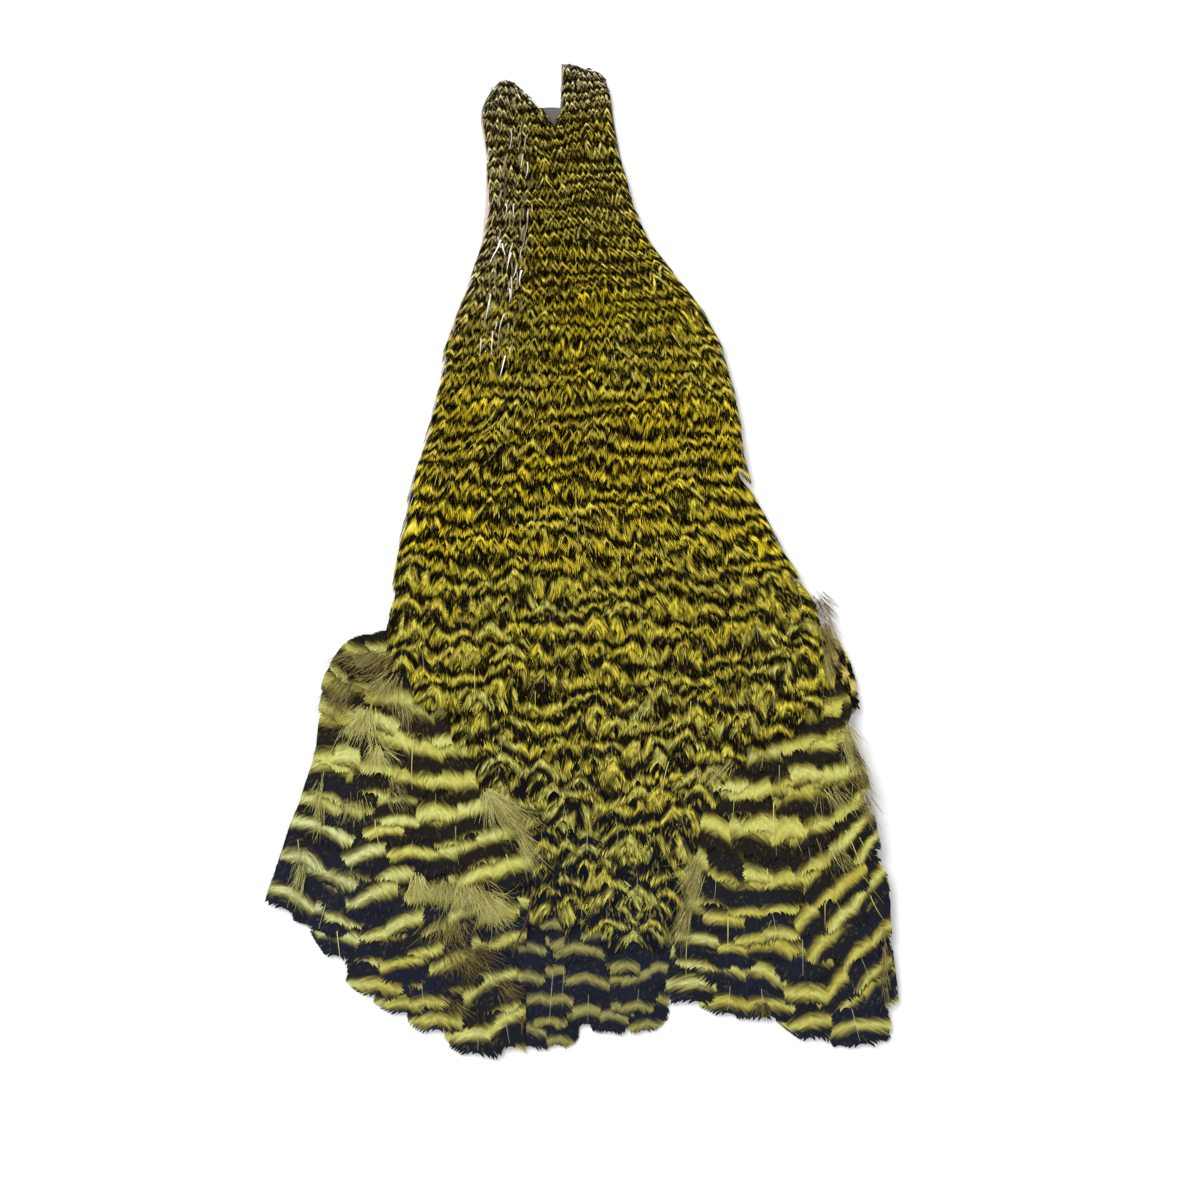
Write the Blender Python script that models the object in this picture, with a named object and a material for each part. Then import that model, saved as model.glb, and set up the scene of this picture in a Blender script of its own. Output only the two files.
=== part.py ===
"""A hen cape lying flat: the tanned neck and shoulder skin of a hen with its feathers on.

The skin and the small hackles that cover its neck, back and middle are one solid, with the hackles as
rows of overlapping locks. The large feathers of both shoulders and of the hem are solids of their own,
laid like scales. Metres, +Z up, the neck end at +Y, the flat underside at Z = 0.
"""

import bisect
import math
import random
from dataclasses import dataclass

import bmesh
import bpy

MM = 0.001

# The skin
SKIN_THICKNESS = 0.9 * MM
CLEARANCE = 0.35 * MM

# The outline of the cape: place along the neck, then the left and the right edge, all in mm
CAPE_EDGES = (
    (100.0, -20.3, 3.6),
    (93.0, -20.6, 5.2),
    (88.5, -21.1, 5.8),
    (81.3, -19.8, 7.1),
    (71.7, -20.0, 9.9),
    (64.5, -20.8, 12.8),
    (57.3, -23.1, 18.1),
    (50.1, -25.7, 23.9),
    (42.9, -28.5, 27.6),
    (32.1, -30.0, 30.4),
    (14.1, -35.5, 33.4),
    (3.3, -37.5, 39.0),
    (-7.5, -38.5, 44.6),
    (-14.7, -39.1, 47.0),
    (-22.0, -45.0, 49.3),
    (-34.0, -50.0, 50.5),
    (-57.0, -50.0, 53.0),
    (-66.0, -42.0, 53.0),
    (-80.0, -26.0, 51.0),
)

# The neck end: share of the width, place along the neck in mm. Two flaps stand beside the notch
NECK_END = (
    (0.00, 92.6),
    (0.06, 95.6),
    (0.17, 96.9),
    (0.28, 95.4),
    (0.38, 92.6),
    (0.42, 91.4),
    (0.60, 91.4),
    (0.645, 100.6),
    (0.80, 99.7),
    (0.95, 98.6),
    (1.00, 93.5),
)
NOTCH_SHARE = 0.51
NOTCH_HALF_SHARE = 0.12
BARE_RIM = 0.7 * MM
BARE_NOTCH = 3.2 * MM

# The skin's lower edge, under the large feathers: place across, place along the neck, in mm
SKIN_END = (
    (-47.0, -60.0),
    (-42.0, -65.0),
    (-33.0, -70.5),
    (-12.0, -73.5),
    (5.0, -77.0),
    (20.0, -71.0),
    (51.5, -71.0),
)
# Shares of the way from the last hackles to that edge, for the lines that the bare skin is made along
BARE_RUNS = (0.35, 0.7, 1.0)

# The hackle coat on the skin: place along the neck, then the coat's left and right edge, all in mm
COAT_EDGES = (
    (100.0, -19.6, 3.3),
    (93.0, -19.6, 4.9),
    (88.5, -19.6, 5.4),
    (71.7, -18.6, 9.4),
    (64.5, -19.4, 12.3),
    (50.1, -24.9, 23.4),
    (42.9, -27.9, 27.2),
    (14.1, -35.0, 33.0),
    (-7.5, -38.1, 44.0),
    (-17.0, -38.6, 47.3),
    (-28.0, -38.6, 48.6),
)
# Where the coat ends between and above the shoulder feathers: place across, place along the neck, in mm
COAT_END = (
    (-38.6, -19.5),
    (-30.0, -27.0),
    (-21.0, -36.0),
    (-14.5, -47.0),
    (-12.0, -58.0),
    (-9.0, -65.0),
    (-3.0, -67.5),
    (4.0, -68.5),
    (11.0, -67.5),
    (16.0, -65.0),
    (19.5, -58.0),
    (22.5, -46.0),
    (28.0, -38.0),
    (38.0, -33.5),
    (48.6, -28.0),
)
COAT_INSET = 0.3 * MM
COAT_FIRST_STEP = 0.25 * MM
COAT_ROWS = 11
LOCKS_PER_ROW = 7
COLUMNS_PER_LOCK = 6
FIRST_TIP_LINE = 82.0 * MM
LAST_TIP_LINE = -68.5 * MM
ROW_GROWTH = 1.09
SQUEEZED_ROW = 2.6 * MM
LOCK_REACH = 0.42
LOCK_REACH_SPREAD = 0.18
LOCK_TIP_POWER = 0.8
LOCK_STEP = 0.33
LOCK_RIDGE = 0.13
LOW_RIDGE = 0.065
CROWN_POWER = 3
# Shares of the way down a row and of its rise, for the lines that a row is bent along
ROW_CURVE = ((0.35, 0.55), (0.7, 0.85), (1.0, 1.0))

# The coat's height above the skin: place along the neck, height at the middle, height at the edge, in mm
COAT_HEIGHTS = (
    (100.0, 1.4, 0.7),
    (90.0, 2.2, 0.8),
    (70.0, 3.6, 0.9),
    (40.0, 5.2, 1.1),
    (10.0, 6.0, 1.3),
    (-12.0, 6.2, 1.6),
    (-28.0, 6.2, 3.0),
    (-45.0, 6.0, 4.4),
    (-70.0, 5.2, 4.4),
)

# The large feathers
FEATHER_THICKNESS = 0.5 * MM
LAYER_RISE = 1.15 * MM
FEATHER_ARCH = 0.22 * MM
QUILL_HALF_WIDTH = 0.55 * MM
VANE_SHARE = 0.93
TIP_THICKNESS_SHARE = 0.7
TIP_SPREAD = 0.012
TRIM_STEP = 0.25 * MM
SHORTEST_FEATHER = 6 * MM
COAT_ROOM = 0.9 * MM
MOST_WIDTH_SHARE = 0.36
SKIN_END_TURN = 0.1
FEATHER_SEED = 41
SHARP_DEGREES = 40.0
# Share of a feather's length, share of its half width: quill, vane and the round tip
VANE_OUTLINE = (
    (0.00, 0.08),
    (0.14, 0.22),
    (0.38, 0.80),
    (0.62, 1.00),
    (0.80, 0.97),
    (0.91, 0.78),
    (0.975, 0.45),
)

# The small feather at the right edge: where it grows from, its reach and its width there, in mm
EDGE_FEATHER_APEX = (51.2, 20.0)
EDGE_FEATHER_REACH = 49.6
EDGE_FEATHER_WIDTH = 5.0
EDGE_FEATHER_ANGLE = 1.0


@dataclass
class Fan:
    """Rows of large feathers that spread from one point, like scales on a fan.

    Angles are degrees from -Y, towards +X. The reach is pairs of an angle and the distance in mm from the
    apex to the outermost tips. A row is its count, its lowest and highest angle, and its shift in feathers.
    The length, the row step and the skin's end are shares of the reach.
    """

    name: str
    apex: tuple
    length: float
    row_step: float
    reach: tuple
    rows: tuple
    skin_end: float


def between(table, place, column=1):
    """The value of a table's column at a place, straight between its rows."""
    rows = sorted(table)
    places = [row[0] for row in rows]
    if place <= places[0]:
        return rows[0][column]
    if place >= places[-1]:
        return rows[-1][column]
    after = bisect.bisect_right(places, place)
    low, high = rows[after - 1], rows[after]
    share = (place - low[0]) / (high[0] - low[0])
    return low[column] + share * (high[column] - low[column])


def smooth_step(low, high, value):
    """0 below low, 1 above high, and an even turn between."""
    share = min(1.0, max(0.0, (value - low) / (high - low)))
    return share * share * (3 - 2 * share)


def cape_side(y, side):
    """The skin's left (0) or right (1) edge at a place along the neck."""
    return between(CAPE_EDGES, y / MM, 1 + side) * MM


def coat_side(y, side):
    """The coat's left (0) or right (1) edge at a place along the neck."""
    return between(COAT_EDGES, y / MM, 1 + side) * MM


def coat_height(share, y):
    """The coat's height above the skin at a share of its width."""
    middle = between(COAT_HEIGHTS, y / MM, 1) * MM
    edge = between(COAT_HEIGHTS, y / MM, 2) * MM
    crown = math.sqrt(max(0.0, 1 - abs(2 * share - 1) ** CROWN_POWER))
    return edge + (middle - edge) * crown


def lock_phase(share, row):
    """The number of the lock at a share of the width, and 0 at the lock's sides to 1 at its ridge."""
    place = share * LOCKS_PER_ROW + 0.5 * (row % 2)
    within = place - math.floor(place)
    return math.floor(place), 1 - abs(2 * within - 1)


def flat_line(row):
    """A row's place in the middle of the back. The rows grow longer towards the shoulders."""
    steps = [ROW_GROWTH**k for k in range(COAT_ROWS - 1)]
    run = sum(steps[: row - 1]) / sum(steps)
    return FIRST_TIP_LINE + (LAST_TIP_LINE - FIRST_TIP_LINE) * run


def coat_end(share):
    """Where the coat ends at a share of its width."""
    left, right = COAT_END[0][0], COAT_END[-1][0]
    return between(COAT_END, left + share * (right - left)) * MM


def row_line(row, share):
    """A row's place at a share of the width. At the sides the last rows are squeezed above the coat's end."""
    return max(flat_line(row), coat_end(share) + (COAT_ROWS - row) * SQUEEZED_ROW)


def lock_reaches():
    """How far each lock's tip reaches past its row, as a share of the row's depth."""
    pick = random.Random(FEATHER_SEED)
    low, high = LOCK_REACH - LOCK_REACH_SPREAD / 2, LOCK_REACH + LOCK_REACH_SPREAD / 2
    return [[pick.uniform(low, high) for _ in range(LOCKS_PER_ROW + 1)] for _ in range(COAT_ROWS + 1)]


def tip_line_y(row, share, reaches):
    """The scalloped line of lock tips that ends a row."""
    lock, ridge = lock_phase(share, row)
    if row < COAT_ROWS:
        depth = row_line(row, share) - row_line(row + 1, share)
    else:
        depth = SQUEEZED_ROW
    return row_line(row, share) - reaches[row][lock] * depth * ridge**LOCK_TIP_POWER


def column_shares():
    """The shares of the coat's width at which the coat has a column of points."""
    count = LOCKS_PER_ROW * COLUMNS_PER_LOCK
    return [j / count for j in range(count + 1)]


def across(points, line):
    """Adds one line of points across the cape and returns them: skin edge, coat foot, coat, foot, edge."""
    return [points.verts.new(place) for place in line]


def cross_line(y_of, height_of, raised):
    """The places of one line across the cape.

    y_of gives the place along the neck at a share of the width, and height_of the coat's height there.
    A line that isn't raised lies on the bare skin.
    """
    line = []
    first, last = y_of(0.0), y_of(1.0)
    line.append((cape_side(first, 0), first, SKIN_THICKNESS))
    line.append((coat_side(first, 0) - COAT_INSET, first, SKIN_THICKNESS))
    for share in column_shares():
        y = y_of(share)
        left, right = coat_side(y, 0), coat_side(y, 1)
        lift = height_of(share, y) if raised else 0.0
        line.append((left + share * (right - left), y, SKIN_THICKNESS + lift))
    line.append((coat_side(last, 1) + COAT_INSET, last, SKIN_THICKNESS))
    line.append((cape_side(last, 1), last, SKIN_THICKNESS))
    return line


def join_lines(points, upper, lower):
    """Faces between two lines of points, with a triangle where both share a point."""
    for j in range(len(upper) - 1):
        ring = [upper[j], lower[j], lower[j + 1], upper[j + 1]]
        corners = [p for i, p in enumerate(ring) if p not in ring[:i]]
        if len(corners) > 2:
            points.faces.new(corners)


def neck_end_y(share):
    """The skin's edge at the neck end, with its flaps and notch."""
    return between(NECK_END, share) * MM


def coat_start_y(share):
    """Where the coat starts below the neck end: close to the rim, and further down in the notch."""
    in_notch = max(0.0, 1 - abs(share - NOTCH_SHARE) / NOTCH_HALF_SHARE)
    return neck_end_y(share) - BARE_RIM - BARE_NOTCH * in_notch


def bare_line(run, reaches):
    """A line across the bare skin, at a share of the way from the last tips to the skin's lower edge."""
    def last_tips(share):
        return tip_line_y(COAT_ROWS, share, reaches)

    left, right = SKIN_END[0][0], SKIN_END[-1][0]
    shares = [0.0, 0.0] + column_shares() + [1.0, 1.0]
    line = []
    for (x, y, _), share in zip(cross_line(last_tips, coat_height, raised=False), shares):
        end_x = (left + share * (right - left)) * MM
        end_y = between(SKIN_END, end_x / MM) * MM
        line.append((x + run * (end_x - x), y + run * (end_y - y), SKIN_THICKNESS))
    for j, side in ((0, 0), (-1, 1)):
        line[j] = (cape_side(line[j][1], side), line[j][1], SKIN_THICKNESS)
    return line


def raised_height(share, y, row):
    """The coat's height at the tips of a row, with each lock's ridge."""
    _, ridge = lock_phase(share, row)
    whole = coat_height(share, y)
    return whole * (1 - LOCK_RIDGE + LOCK_RIDGE * ridge)


def lowered_height(share, y, row):
    """The coat's height where a row starts, under the tips of the row above."""
    _, ridge = lock_phase(share, row)
    whole = coat_height(share, y)
    return whole * (1 - LOCK_STEP + LOW_RIDGE * ridge)


def shared_margins(points, line, made):
    """The points of a line, new ones over the coat and those of a line already made beside it."""
    coat = across(points, line[2:-2])
    return made[:2] + coat + made[-2:]


def row_lines(row, above, reaches):
    """The lines of a row: those on its way down, and last the one of its tips."""

    def line_at(run, rise):
        def down(share):
            return (1 - run) * above(share) + run * tip_line_y(row, share, reaches)

        def height(share, y):
            return (1 - rise) * lowered_height(share, y, row) + rise * raised_height(share, y, row)

        return cross_line(down, height, raised=True)

    return [line_at(run, rise) for run, rise in ROW_CURVE]


def next_start(row, reaches):
    """The line under a row's tips where the next row comes out, or the bare skin after the last row."""
    return cross_line(
        lambda share: tip_line_y(row, share, reaches),
        lambda share, y: lowered_height(share, y, row + 1),
        raised=row < COAT_ROWS,
    )


def build_hide():
    """The skin with its coat of hackles, as one solid."""
    points = bmesh.new()
    reaches = lock_reaches()
    rim = across(points, cross_line(neck_end_y, coat_height, raised=False))
    foot = across(points, cross_line(coat_start_y, coat_height, raised=False))
    join_lines(points, rim, foot)
    edge = [rim, foot]
    first = cross_line(lambda share: coat_start_y(share) - COAT_FIRST_STEP, coat_height, raised=True)
    start = shared_margins(points, first, foot)
    join_lines(points, foot, start)
    above = coat_start_y
    for row in range(1, COAT_ROWS + 1):
        for line in row_lines(row, above, reaches):
            ends = across(points, line)
            join_lines(points, start, ends)
            edge.append(ends)
            start = ends
        start = shared_margins(points, next_start(row, reaches), ends)
        join_lines(points, ends, start)
        above = lambda share, row=row: tip_line_y(row, share, reaches)
    for run in BARE_RUNS:
        last = across(points, bare_line(run, reaches))
        join_lines(points, start, last)
        edge.append(last)
        start = last
    close_underside(points, rim, edge[:-1], last)
    return points


def close_underside(points, rim, edge, last):
    """Walls down the skin's edge and one flat face under it."""
    left = [line[0] for line in edge]
    right = [line[-1] for line in edge]
    loop = left + last + right[:0:-1] + rim[:0:-1]
    below = [points.verts.new((p.co.x, p.co.y, 0.0)) for p in loop]
    for j, point in enumerate(loop):
        after = (j + 1) % len(loop)
        points.faces.new((point, below[j], below[after], loop[after]))
    points.faces.new(below)


def reach_of(fan, angle):
    """How far a fan's outermost tips are from its apex at an angle in degrees from -Y."""
    return between(fan.reach, angle) * MM


def depth_in(fan, x, y):
    """A place's distance from the apex, as a share of the fan's reach in that direction."""
    away_x, away_y = x - fan.apex[0], fan.apex[1] - y
    angle = math.degrees(math.atan2(away_x, away_y))
    return math.hypot(away_x, away_y) / reach_of(fan, angle)


def layer_height(fan, row, x, y):
    """The height of a feather's underside: one layer above each row that lies under it there."""
    depth = depth_in(fan, x, y)
    below = len(fan.rows) - 1 - row
    tip_depth = 1 - below * fan.row_step
    root_depth = tip_depth - fan.length
    layers = min(below, max(0.0, (depth - root_depth) / fan.row_step))
    off_skin = smooth_step(fan.skin_end, fan.skin_end + SKIN_END_TURN, depth)
    return SKIN_THICKNESS * (1 - off_skin) + CLEARANCE + layers * LAYER_RISE


def place_on(fan, angle, distance, offset):
    """The place at a distance from a fan's apex, and this far to the right of the line at an angle."""
    lean = math.radians(angle)
    x = fan.apex[0] + distance * math.sin(lean) + offset * math.cos(lean)
    y = fan.apex[1] - distance * math.cos(lean) + offset * math.sin(lean)
    return x, y


def beyond_coat(x, y, room):
    """Whether a place lies below the coat's end or beside the coat, with this much room."""
    ends = [between(COAT_END, (x + shift) / MM) * MM for shift in (-room, 0.0, room)]
    beside = x < coat_side(y, 0) - room or x > coat_side(y, 1) + room
    return beside or y < min(ends) - room


def root_distance(fan, angle, tip, length):
    """How far from the apex a feather starts, clear of the coat."""
    distance = tip - length
    while distance < tip - SHORTEST_FEATHER:
        sides = (-QUILL_HALF_WIDTH, QUILL_HALF_WIDTH)
        if all(beyond_coat(*place_on(fan, angle, distance, offset), COAT_ROOM) for offset in sides):
            break
        distance += TRIM_STEP
    return distance


def vane_reach(fan, angle, distance, side, widest):
    """How far a vane reaches to its left (-1) or right (1), cut back where the coat lies over it."""
    offset = max(QUILL_HALF_WIDTH, widest)
    while offset > QUILL_HALF_WIDTH + TRIM_STEP:
        if beyond_coat(*place_on(fan, angle, distance, side * offset), COAT_ROOM):
            break
        offset -= TRIM_STEP
    return side * offset


def fan_feather(fan, row, angle, pitch, stretch):
    """The solid of one large feather of a fan."""
    tip_depth = 1 - (len(fan.rows) - 1 - row) * fan.row_step
    reach = reach_of(fan, angle)
    tip = reach * (tip_depth + stretch)
    root = root_distance(fan, angle, tip, reach * fan.length)
    points = bmesh.new()

    def add_point(distance, offset, lift):
        x, y = place_on(fan, angle, distance, offset)
        return points.verts.new((x, y, layer_height(fan, row, x, y) + lift))

    over, under = [], []
    for share, width in VANE_OUTLINE:
        distance = root + share * (tip - root)
        half = 0.5 * VANE_SHARE * pitch * distance - CLEARANCE / 2
        widest = width * min(half, MOST_WIDTH_SHARE * (tip - root))
        left = vane_reach(fan, angle, distance, -1, widest)
        right = vane_reach(fan, angle, distance, 1, widest)
        for ring, lift in ((over, FEATHER_THICKNESS), (under, 0.0)):
            spine = add_point(distance, 0.0, lift + FEATHER_ARCH * width)
            ring.append((add_point(distance, left, lift), spine, add_point(distance, right, lift)))
    end_over = add_point(tip, 0.0, TIP_THICKNESS_SHARE * FEATHER_THICKNESS)
    end_under = add_point(tip, 0.0, 0.0)
    skin_feather(points, over, under, end_over, end_under)
    return points


def skin_feather(points, over, under, end_over, end_under):
    """The faces of a feather between its rings of points."""
    for k in range(len(over) - 1):
        for side in (0, 1):
            points.faces.new((over[k][side], over[k + 1][side], over[k + 1][side + 1], over[k][side + 1]))
            points.faces.new((under[k][side + 1], under[k + 1][side + 1], under[k + 1][side], under[k][side]))
        points.faces.new((over[k][0], under[k][0], under[k + 1][0], over[k + 1][0]))
        points.faces.new((over[k + 1][2], under[k + 1][2], under[k][2], over[k][2]))
    for side in (0, 1):
        points.faces.new((over[-1][side], end_over, over[-1][side + 1]))
        points.faces.new((under[-1][side + 1], end_under, under[-1][side]))
        points.faces.new((under[0][side], over[0][side], over[0][side + 1], under[0][side + 1]))
    points.faces.new((over[-1][0], under[-1][0], end_under, end_over))
    points.faces.new((end_over, end_under, under[-1][2], over[-1][2]))


def finish_object(name, points, material):
    """Makes an object of the points, with its normals out and its soft edges smooth."""
    bmesh.ops.recalc_face_normals(points, faces=points.faces)
    mesh = bpy.data.meshes.new(name)
    points.to_mesh(mesh)
    points.free()
    mesh.materials.append(material)
    mesh.shade_smooth()
    mesh.set_sharp_from_angle(angle=math.radians(SHARP_DEGREES))
    made = bpy.data.objects.new(name, mesh)
    bpy.context.scene.collection.objects.link(made)
    return made


def feather_material(name, colour, roughness):
    """A plain finish with the part's own colour."""
    material = bpy.data.materials.new(name)
    material.use_nodes = True
    shader = material.node_tree.nodes["Principled BSDF"]
    shader.inputs["Base Color"].default_value = (*colour, 1.0)
    shader.inputs["Roughness"].default_value = roughness
    shader.inputs["Metallic"].default_value = 0.0
    return material


def build_fan(fan, material):
    """The feathers of a fan, row by row from the coat to the hem."""
    pick = random.Random(FEATHER_SEED)
    number = 0
    for row, (count, low, high, shift) in enumerate(fan.rows):
        pitch = (high - low) / count
        for j in range(count):
            number += 1
            angle = low + (j + 0.5 + shift) * pitch
            stretch = pick.uniform(-TIP_SPREAD, 0.0)
            feather = fan_feather(fan, row, angle, math.radians(pitch), stretch)
            finish_object(f"{fan.name}_{number:02d}", feather, material)


def build_edge_feather(material):
    """The one small feather that pokes out at the right edge above the shoulder."""
    spread = math.degrees(EDGE_FEATHER_WIDTH / EDGE_FEATHER_REACH)
    fan = Fan(
        name="right_edge_feather",
        apex=(EDGE_FEATHER_APEX[0] * MM, EDGE_FEATHER_APEX[1] * MM),
        length=0.27,
        row_step=0.1,
        reach=((-spread, EDGE_FEATHER_REACH), (spread, EDGE_FEATHER_REACH)),
        rows=((1, -spread, spread, 0.0),),
        skin_end=-1.0,
    )
    feather = fan_feather(fan, 0, EDGE_FEATHER_ANGLE, math.radians(spread), 0.0)
    finish_object(fan.name, feather, material)


def shoulder_and_hem_fans():
    """The three fans of large feathers: both shoulders and the hem between them."""
    left = Fan(
        name="left_shoulder_feather",
        apex=(-29.5 * MM, 12.9 * MM),
        length=0.36,
        row_step=0.095,
        reach=(
            (-30, 86.0),
            (-23, 87.6),
            (-17, 90.0),
            (-11, 99.5),
            (-5, 105.0),
            (1, 110.0),
            (6, 116.2),
            (10, 113.0),
            (16, 100.0),
        ),
        rows=(
            (3, -29, 13, 0.0),
            (3, -28, 15, 0.1),
            (4, -26, 15.5, -0.05),
            (4, -24.5, 14, 0.08),
            (4, -24, 12, -0.05),
            (5, -24.5, 10.2, 0.0),
        ),
        skin_end=0.82,
    )
    right = Fan(
        name="right_shoulder_feather",
        apex=(33.9 * MM, 0.9 * MM),
        length=0.38,
        row_step=0.095,
        reach=(
            (-15, 94.0),
            (-8, 93.0),
            (-2, 93.0),
            (3, 94.0),
            (8, 100.0),
            (14, 103.0),
            (18, 96.5),
            (23, 89.0),
            (30, 84.0),
        ),
        rows=(
            (3, -13, 29, 0.0),
            (3, -12, 28, -0.08),
            (4, -12, 26, 0.04),
            (4, -12, 24, -0.06),
            (4, -11.5, 21.5, 0.06),
            (4, -11.8, 18.5, 0.0),
        ),
        skin_end=0.84,
    )
    hem = Fan(
        name="hem_feather",
        apex=(5.1 * MM, 60.0 * MM),
        length=0.19,
        row_step=0.058,
        reach=((-6, 160.5), (-4.2, 160.4), (-1.5, 155), (1.4, 158), (4.4, 152.5), (6, 151)),
        rows=((4, -5.7, 5.3, 0.0), (3, -5.5, 4.7, 0.0), (4, -5.6, 4.4, 0.0)),
        skin_end=0.885,
    )
    return left, right, hem


def clear_scene():
    """Removes every object of the open scene."""
    for existing in list(bpy.data.objects):
        bpy.data.objects.remove(existing, do_unlink=True)


def main():
    """Builds the hide, the three fans and the feather at the edge."""
    clear_scene()
    hackle_finish = feather_material("hackle coat", (0.115, 0.09, 0.014), 0.75)
    left_finish = feather_material("left shoulder feathers", (0.16, 0.17, 0.085), 0.6)
    right_finish = feather_material("right shoulder feathers", (0.15, 0.145, 0.055), 0.6)
    hem_finish = feather_material("hem feathers", (0.085, 0.082, 0.045), 0.6)
    finish_object("hide", build_hide(), hackle_finish)
    left, right, hem = shoulder_and_hem_fans()
    build_fan(left, left_finish)
    build_fan(right, right_finish)
    build_fan(hem, hem_finish)
    build_edge_feather(right_finish)


main()
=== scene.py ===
"""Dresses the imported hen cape: barred feathers of single barbs, grown on the hide and laid flat.

Lengths are millimetres until a mesh is made, which is in metres. The neck end is at +Y, and a heading is an
angle in radians from -Y, the way that the feathers lie, towards +X.
"""

from __future__ import annotations

import logging
import math
from dataclasses import dataclass, field, replace
from enum import Enum
from typing import Any, Callable

import bpy
import numpy as np
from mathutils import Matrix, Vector


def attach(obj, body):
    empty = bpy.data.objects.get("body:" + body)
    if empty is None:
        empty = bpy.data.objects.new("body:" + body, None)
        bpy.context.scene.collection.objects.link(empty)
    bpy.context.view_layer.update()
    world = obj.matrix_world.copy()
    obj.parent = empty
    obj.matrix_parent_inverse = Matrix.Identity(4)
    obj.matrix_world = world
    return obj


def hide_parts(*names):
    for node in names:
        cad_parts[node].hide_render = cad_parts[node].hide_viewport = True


LOG = logging.getLogger("hen_cape")
MM = 0.001
BODY = "root"
PHOTO_SIDE = 1200
PHOTO_ORIGIN = (585.5, 564.5)
MM_PER_PIXEL = 0.2

LOWEST = 0.12
HIGHEST = 7.05
MAP_ACROSS, MAP_ALONG, MAP_RIM = 0.42, 0.88, 0.02

Array = np.ndarray
Colour = tuple[float, float, float]


def from_pixel(across: float | Array, down: float | Array) -> tuple[Any, Any]:
    """The place in mm that a pixel of the photograph shows.

    Args:
        across: the pixel's column.
        down: the pixel's row.

    Returns:
        The place's x and y.
    """
    return (across - PHOTO_ORIGIN[0]) * MM_PER_PIXEL, (PHOTO_ORIGIN[1] - down) * MM_PER_PIXEL


def read_table(table: tuple[tuple[float, ...], ...], place: Array, column: int = 1) -> Array:
    """The values of a table's column at some places, straight between its rows.

    Args:
        table: rows that each start with a place.
        place: where to read it.
        column: the column to read.

    Returns:
        The values, in the shape of place.
    """
    rows = np.array(sorted(table), float)
    return np.interp(place, rows[:, 0], rows[:, column])


def place_between(edges: tuple[tuple[float, ...], ...], share: Array, y: Array) -> Array:
    """The place across at a share of the way between a left and a right edge."""
    left, right = read_table(edges, y, 1), read_table(edges, y, 2)
    return left + share * (right - left)


def ease(low: float, high: float, value: Array) -> Array:
    """0 below low, 1 above high, and an even turn between."""
    share = np.clip((value - low) / (high - low), 0.0, 1.0)
    return share * share * (3 - 2 * share)


@dataclass(frozen=True)
class Wobble:
    """A smooth field over the cape, from a few waves in fixed directions."""

    length: float
    seed: int
    waves: int = 7

    def at(self, x: Array, y: Array) -> Array:
        """The field at some places, about -1 to 1."""
        pick = np.random.default_rng(self.seed)
        total = np.zeros(np.shape(x))
        for _ in range(self.waves):
            lean = pick.uniform(0, 2 * math.pi)
            length = self.length * pick.uniform(0.6, 1.6)
            phase = pick.uniform(0, 2 * math.pi)
            total += np.sin(2 * math.pi * (x * math.cos(lean) + y * math.sin(lean)) / length + phase)
        return total / math.sqrt(self.waves)


@dataclass(frozen=True)
class CapeForm:
    """The form under the plumage: the hide's outline, the coat's end and the coat's height, in mm."""

    skin: float = 0.9
    edges: tuple = (
        (101.0, -20.0, 3.3), (93.0, -20.2, 4.9), (88.5, -20.4, 5.4), (81.3, -19.6, 6.8), (71.7, -19.4, 9.6),
        (64.5, -20.4, 12.6), (57.3, -22.8, 17.9), (50.1, -25.5, 23.7), (42.9, -28.3, 27.4), (32.1, -29.8, 30.1),
        (14.1, -35.2, 33.2), (3.3, -37.2, 38.8), (-7.5, -38.4, 45.2), (-17.0, -39.0, 47.6),
        (-28.0, -38.6, 48.6), (-100.0, -38.6, 48.6),
    )
    end: tuple = (
        (-38.6, -19.5), (-30.0, -27.0), (-21.0, -36.0), (-14.5, -47.0), (-12.0, -58.0), (-9.0, -67.0),
        (-3.0, -74.0), (4.0, -76.0), (11.0, -75.0), (16.0, -68.0), (19.5, -60.0), (22.5, -48.0), (28.0, -38.0),
        (38.0, -33.5), (48.6, -28.0),
    )
    heights: tuple = (
        (100.0, 1.2, 0.6), (90.0, 2.0, 0.7), (70.0, 3.4, 0.9), (40.0, 4.9, 1.0), (10.0, 5.7, 1.2),
        (-12.0, 5.6, 1.6), (-30.0, 5.0, 2.8), (-50.0, 3.9, 3.4), (-72.0, 2.4, 2.2), (-92.0, 0.9, 0.9),
    )
    flow_run: float = 5.0

    def share_at(self, x: Array, y: Array) -> Array:
        """The share of the width that a place is at, 0 at the left edge and 1 at the right."""
        left, right = read_table(self.edges, y, 1), read_table(self.edges, y, 2)
        return (x - left) / (right - left)

    def x_at(self, share: Array, y: Array) -> Array:
        """The place across at a share of the width."""
        return place_between(self.edges, share, y)

    def width_at(self, y: Array) -> Array:
        """The coat's width at a place along the neck."""
        return read_table(self.edges, y, 2) - read_table(self.edges, y, 1)

    def heading_at(self, x: Array, y: Array) -> Array:
        """The way that the plumage lies at some places, evenly between the two edges' own ways."""
        share = np.clip(self.share_at(x, y), 0.0, 1.0)
        run = self.flow_run
        moved = self.x_at(share, y - run) - self.x_at(share, y + run)
        return np.arctan2(moved, 2 * run)

    def end_at(self, x: Array) -> Array:
        """Where the coat ends at some places across."""
        return read_table(self.end, x)

    def height_at(self, x: Array, y: Array) -> Array:
        """The height of the coat's surface above the ground."""
        share = np.clip(self.share_at(x, y), 0.0, 1.0)
        crown = np.sqrt(np.clip(1 - np.abs(2 * share - 1) ** 3, 0.0, 1.0))
        middle, edge = read_table(self.heights, y, 1), read_table(self.heights, y, 2)
        return self.skin + edge + (middle - edge) * crown


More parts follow.
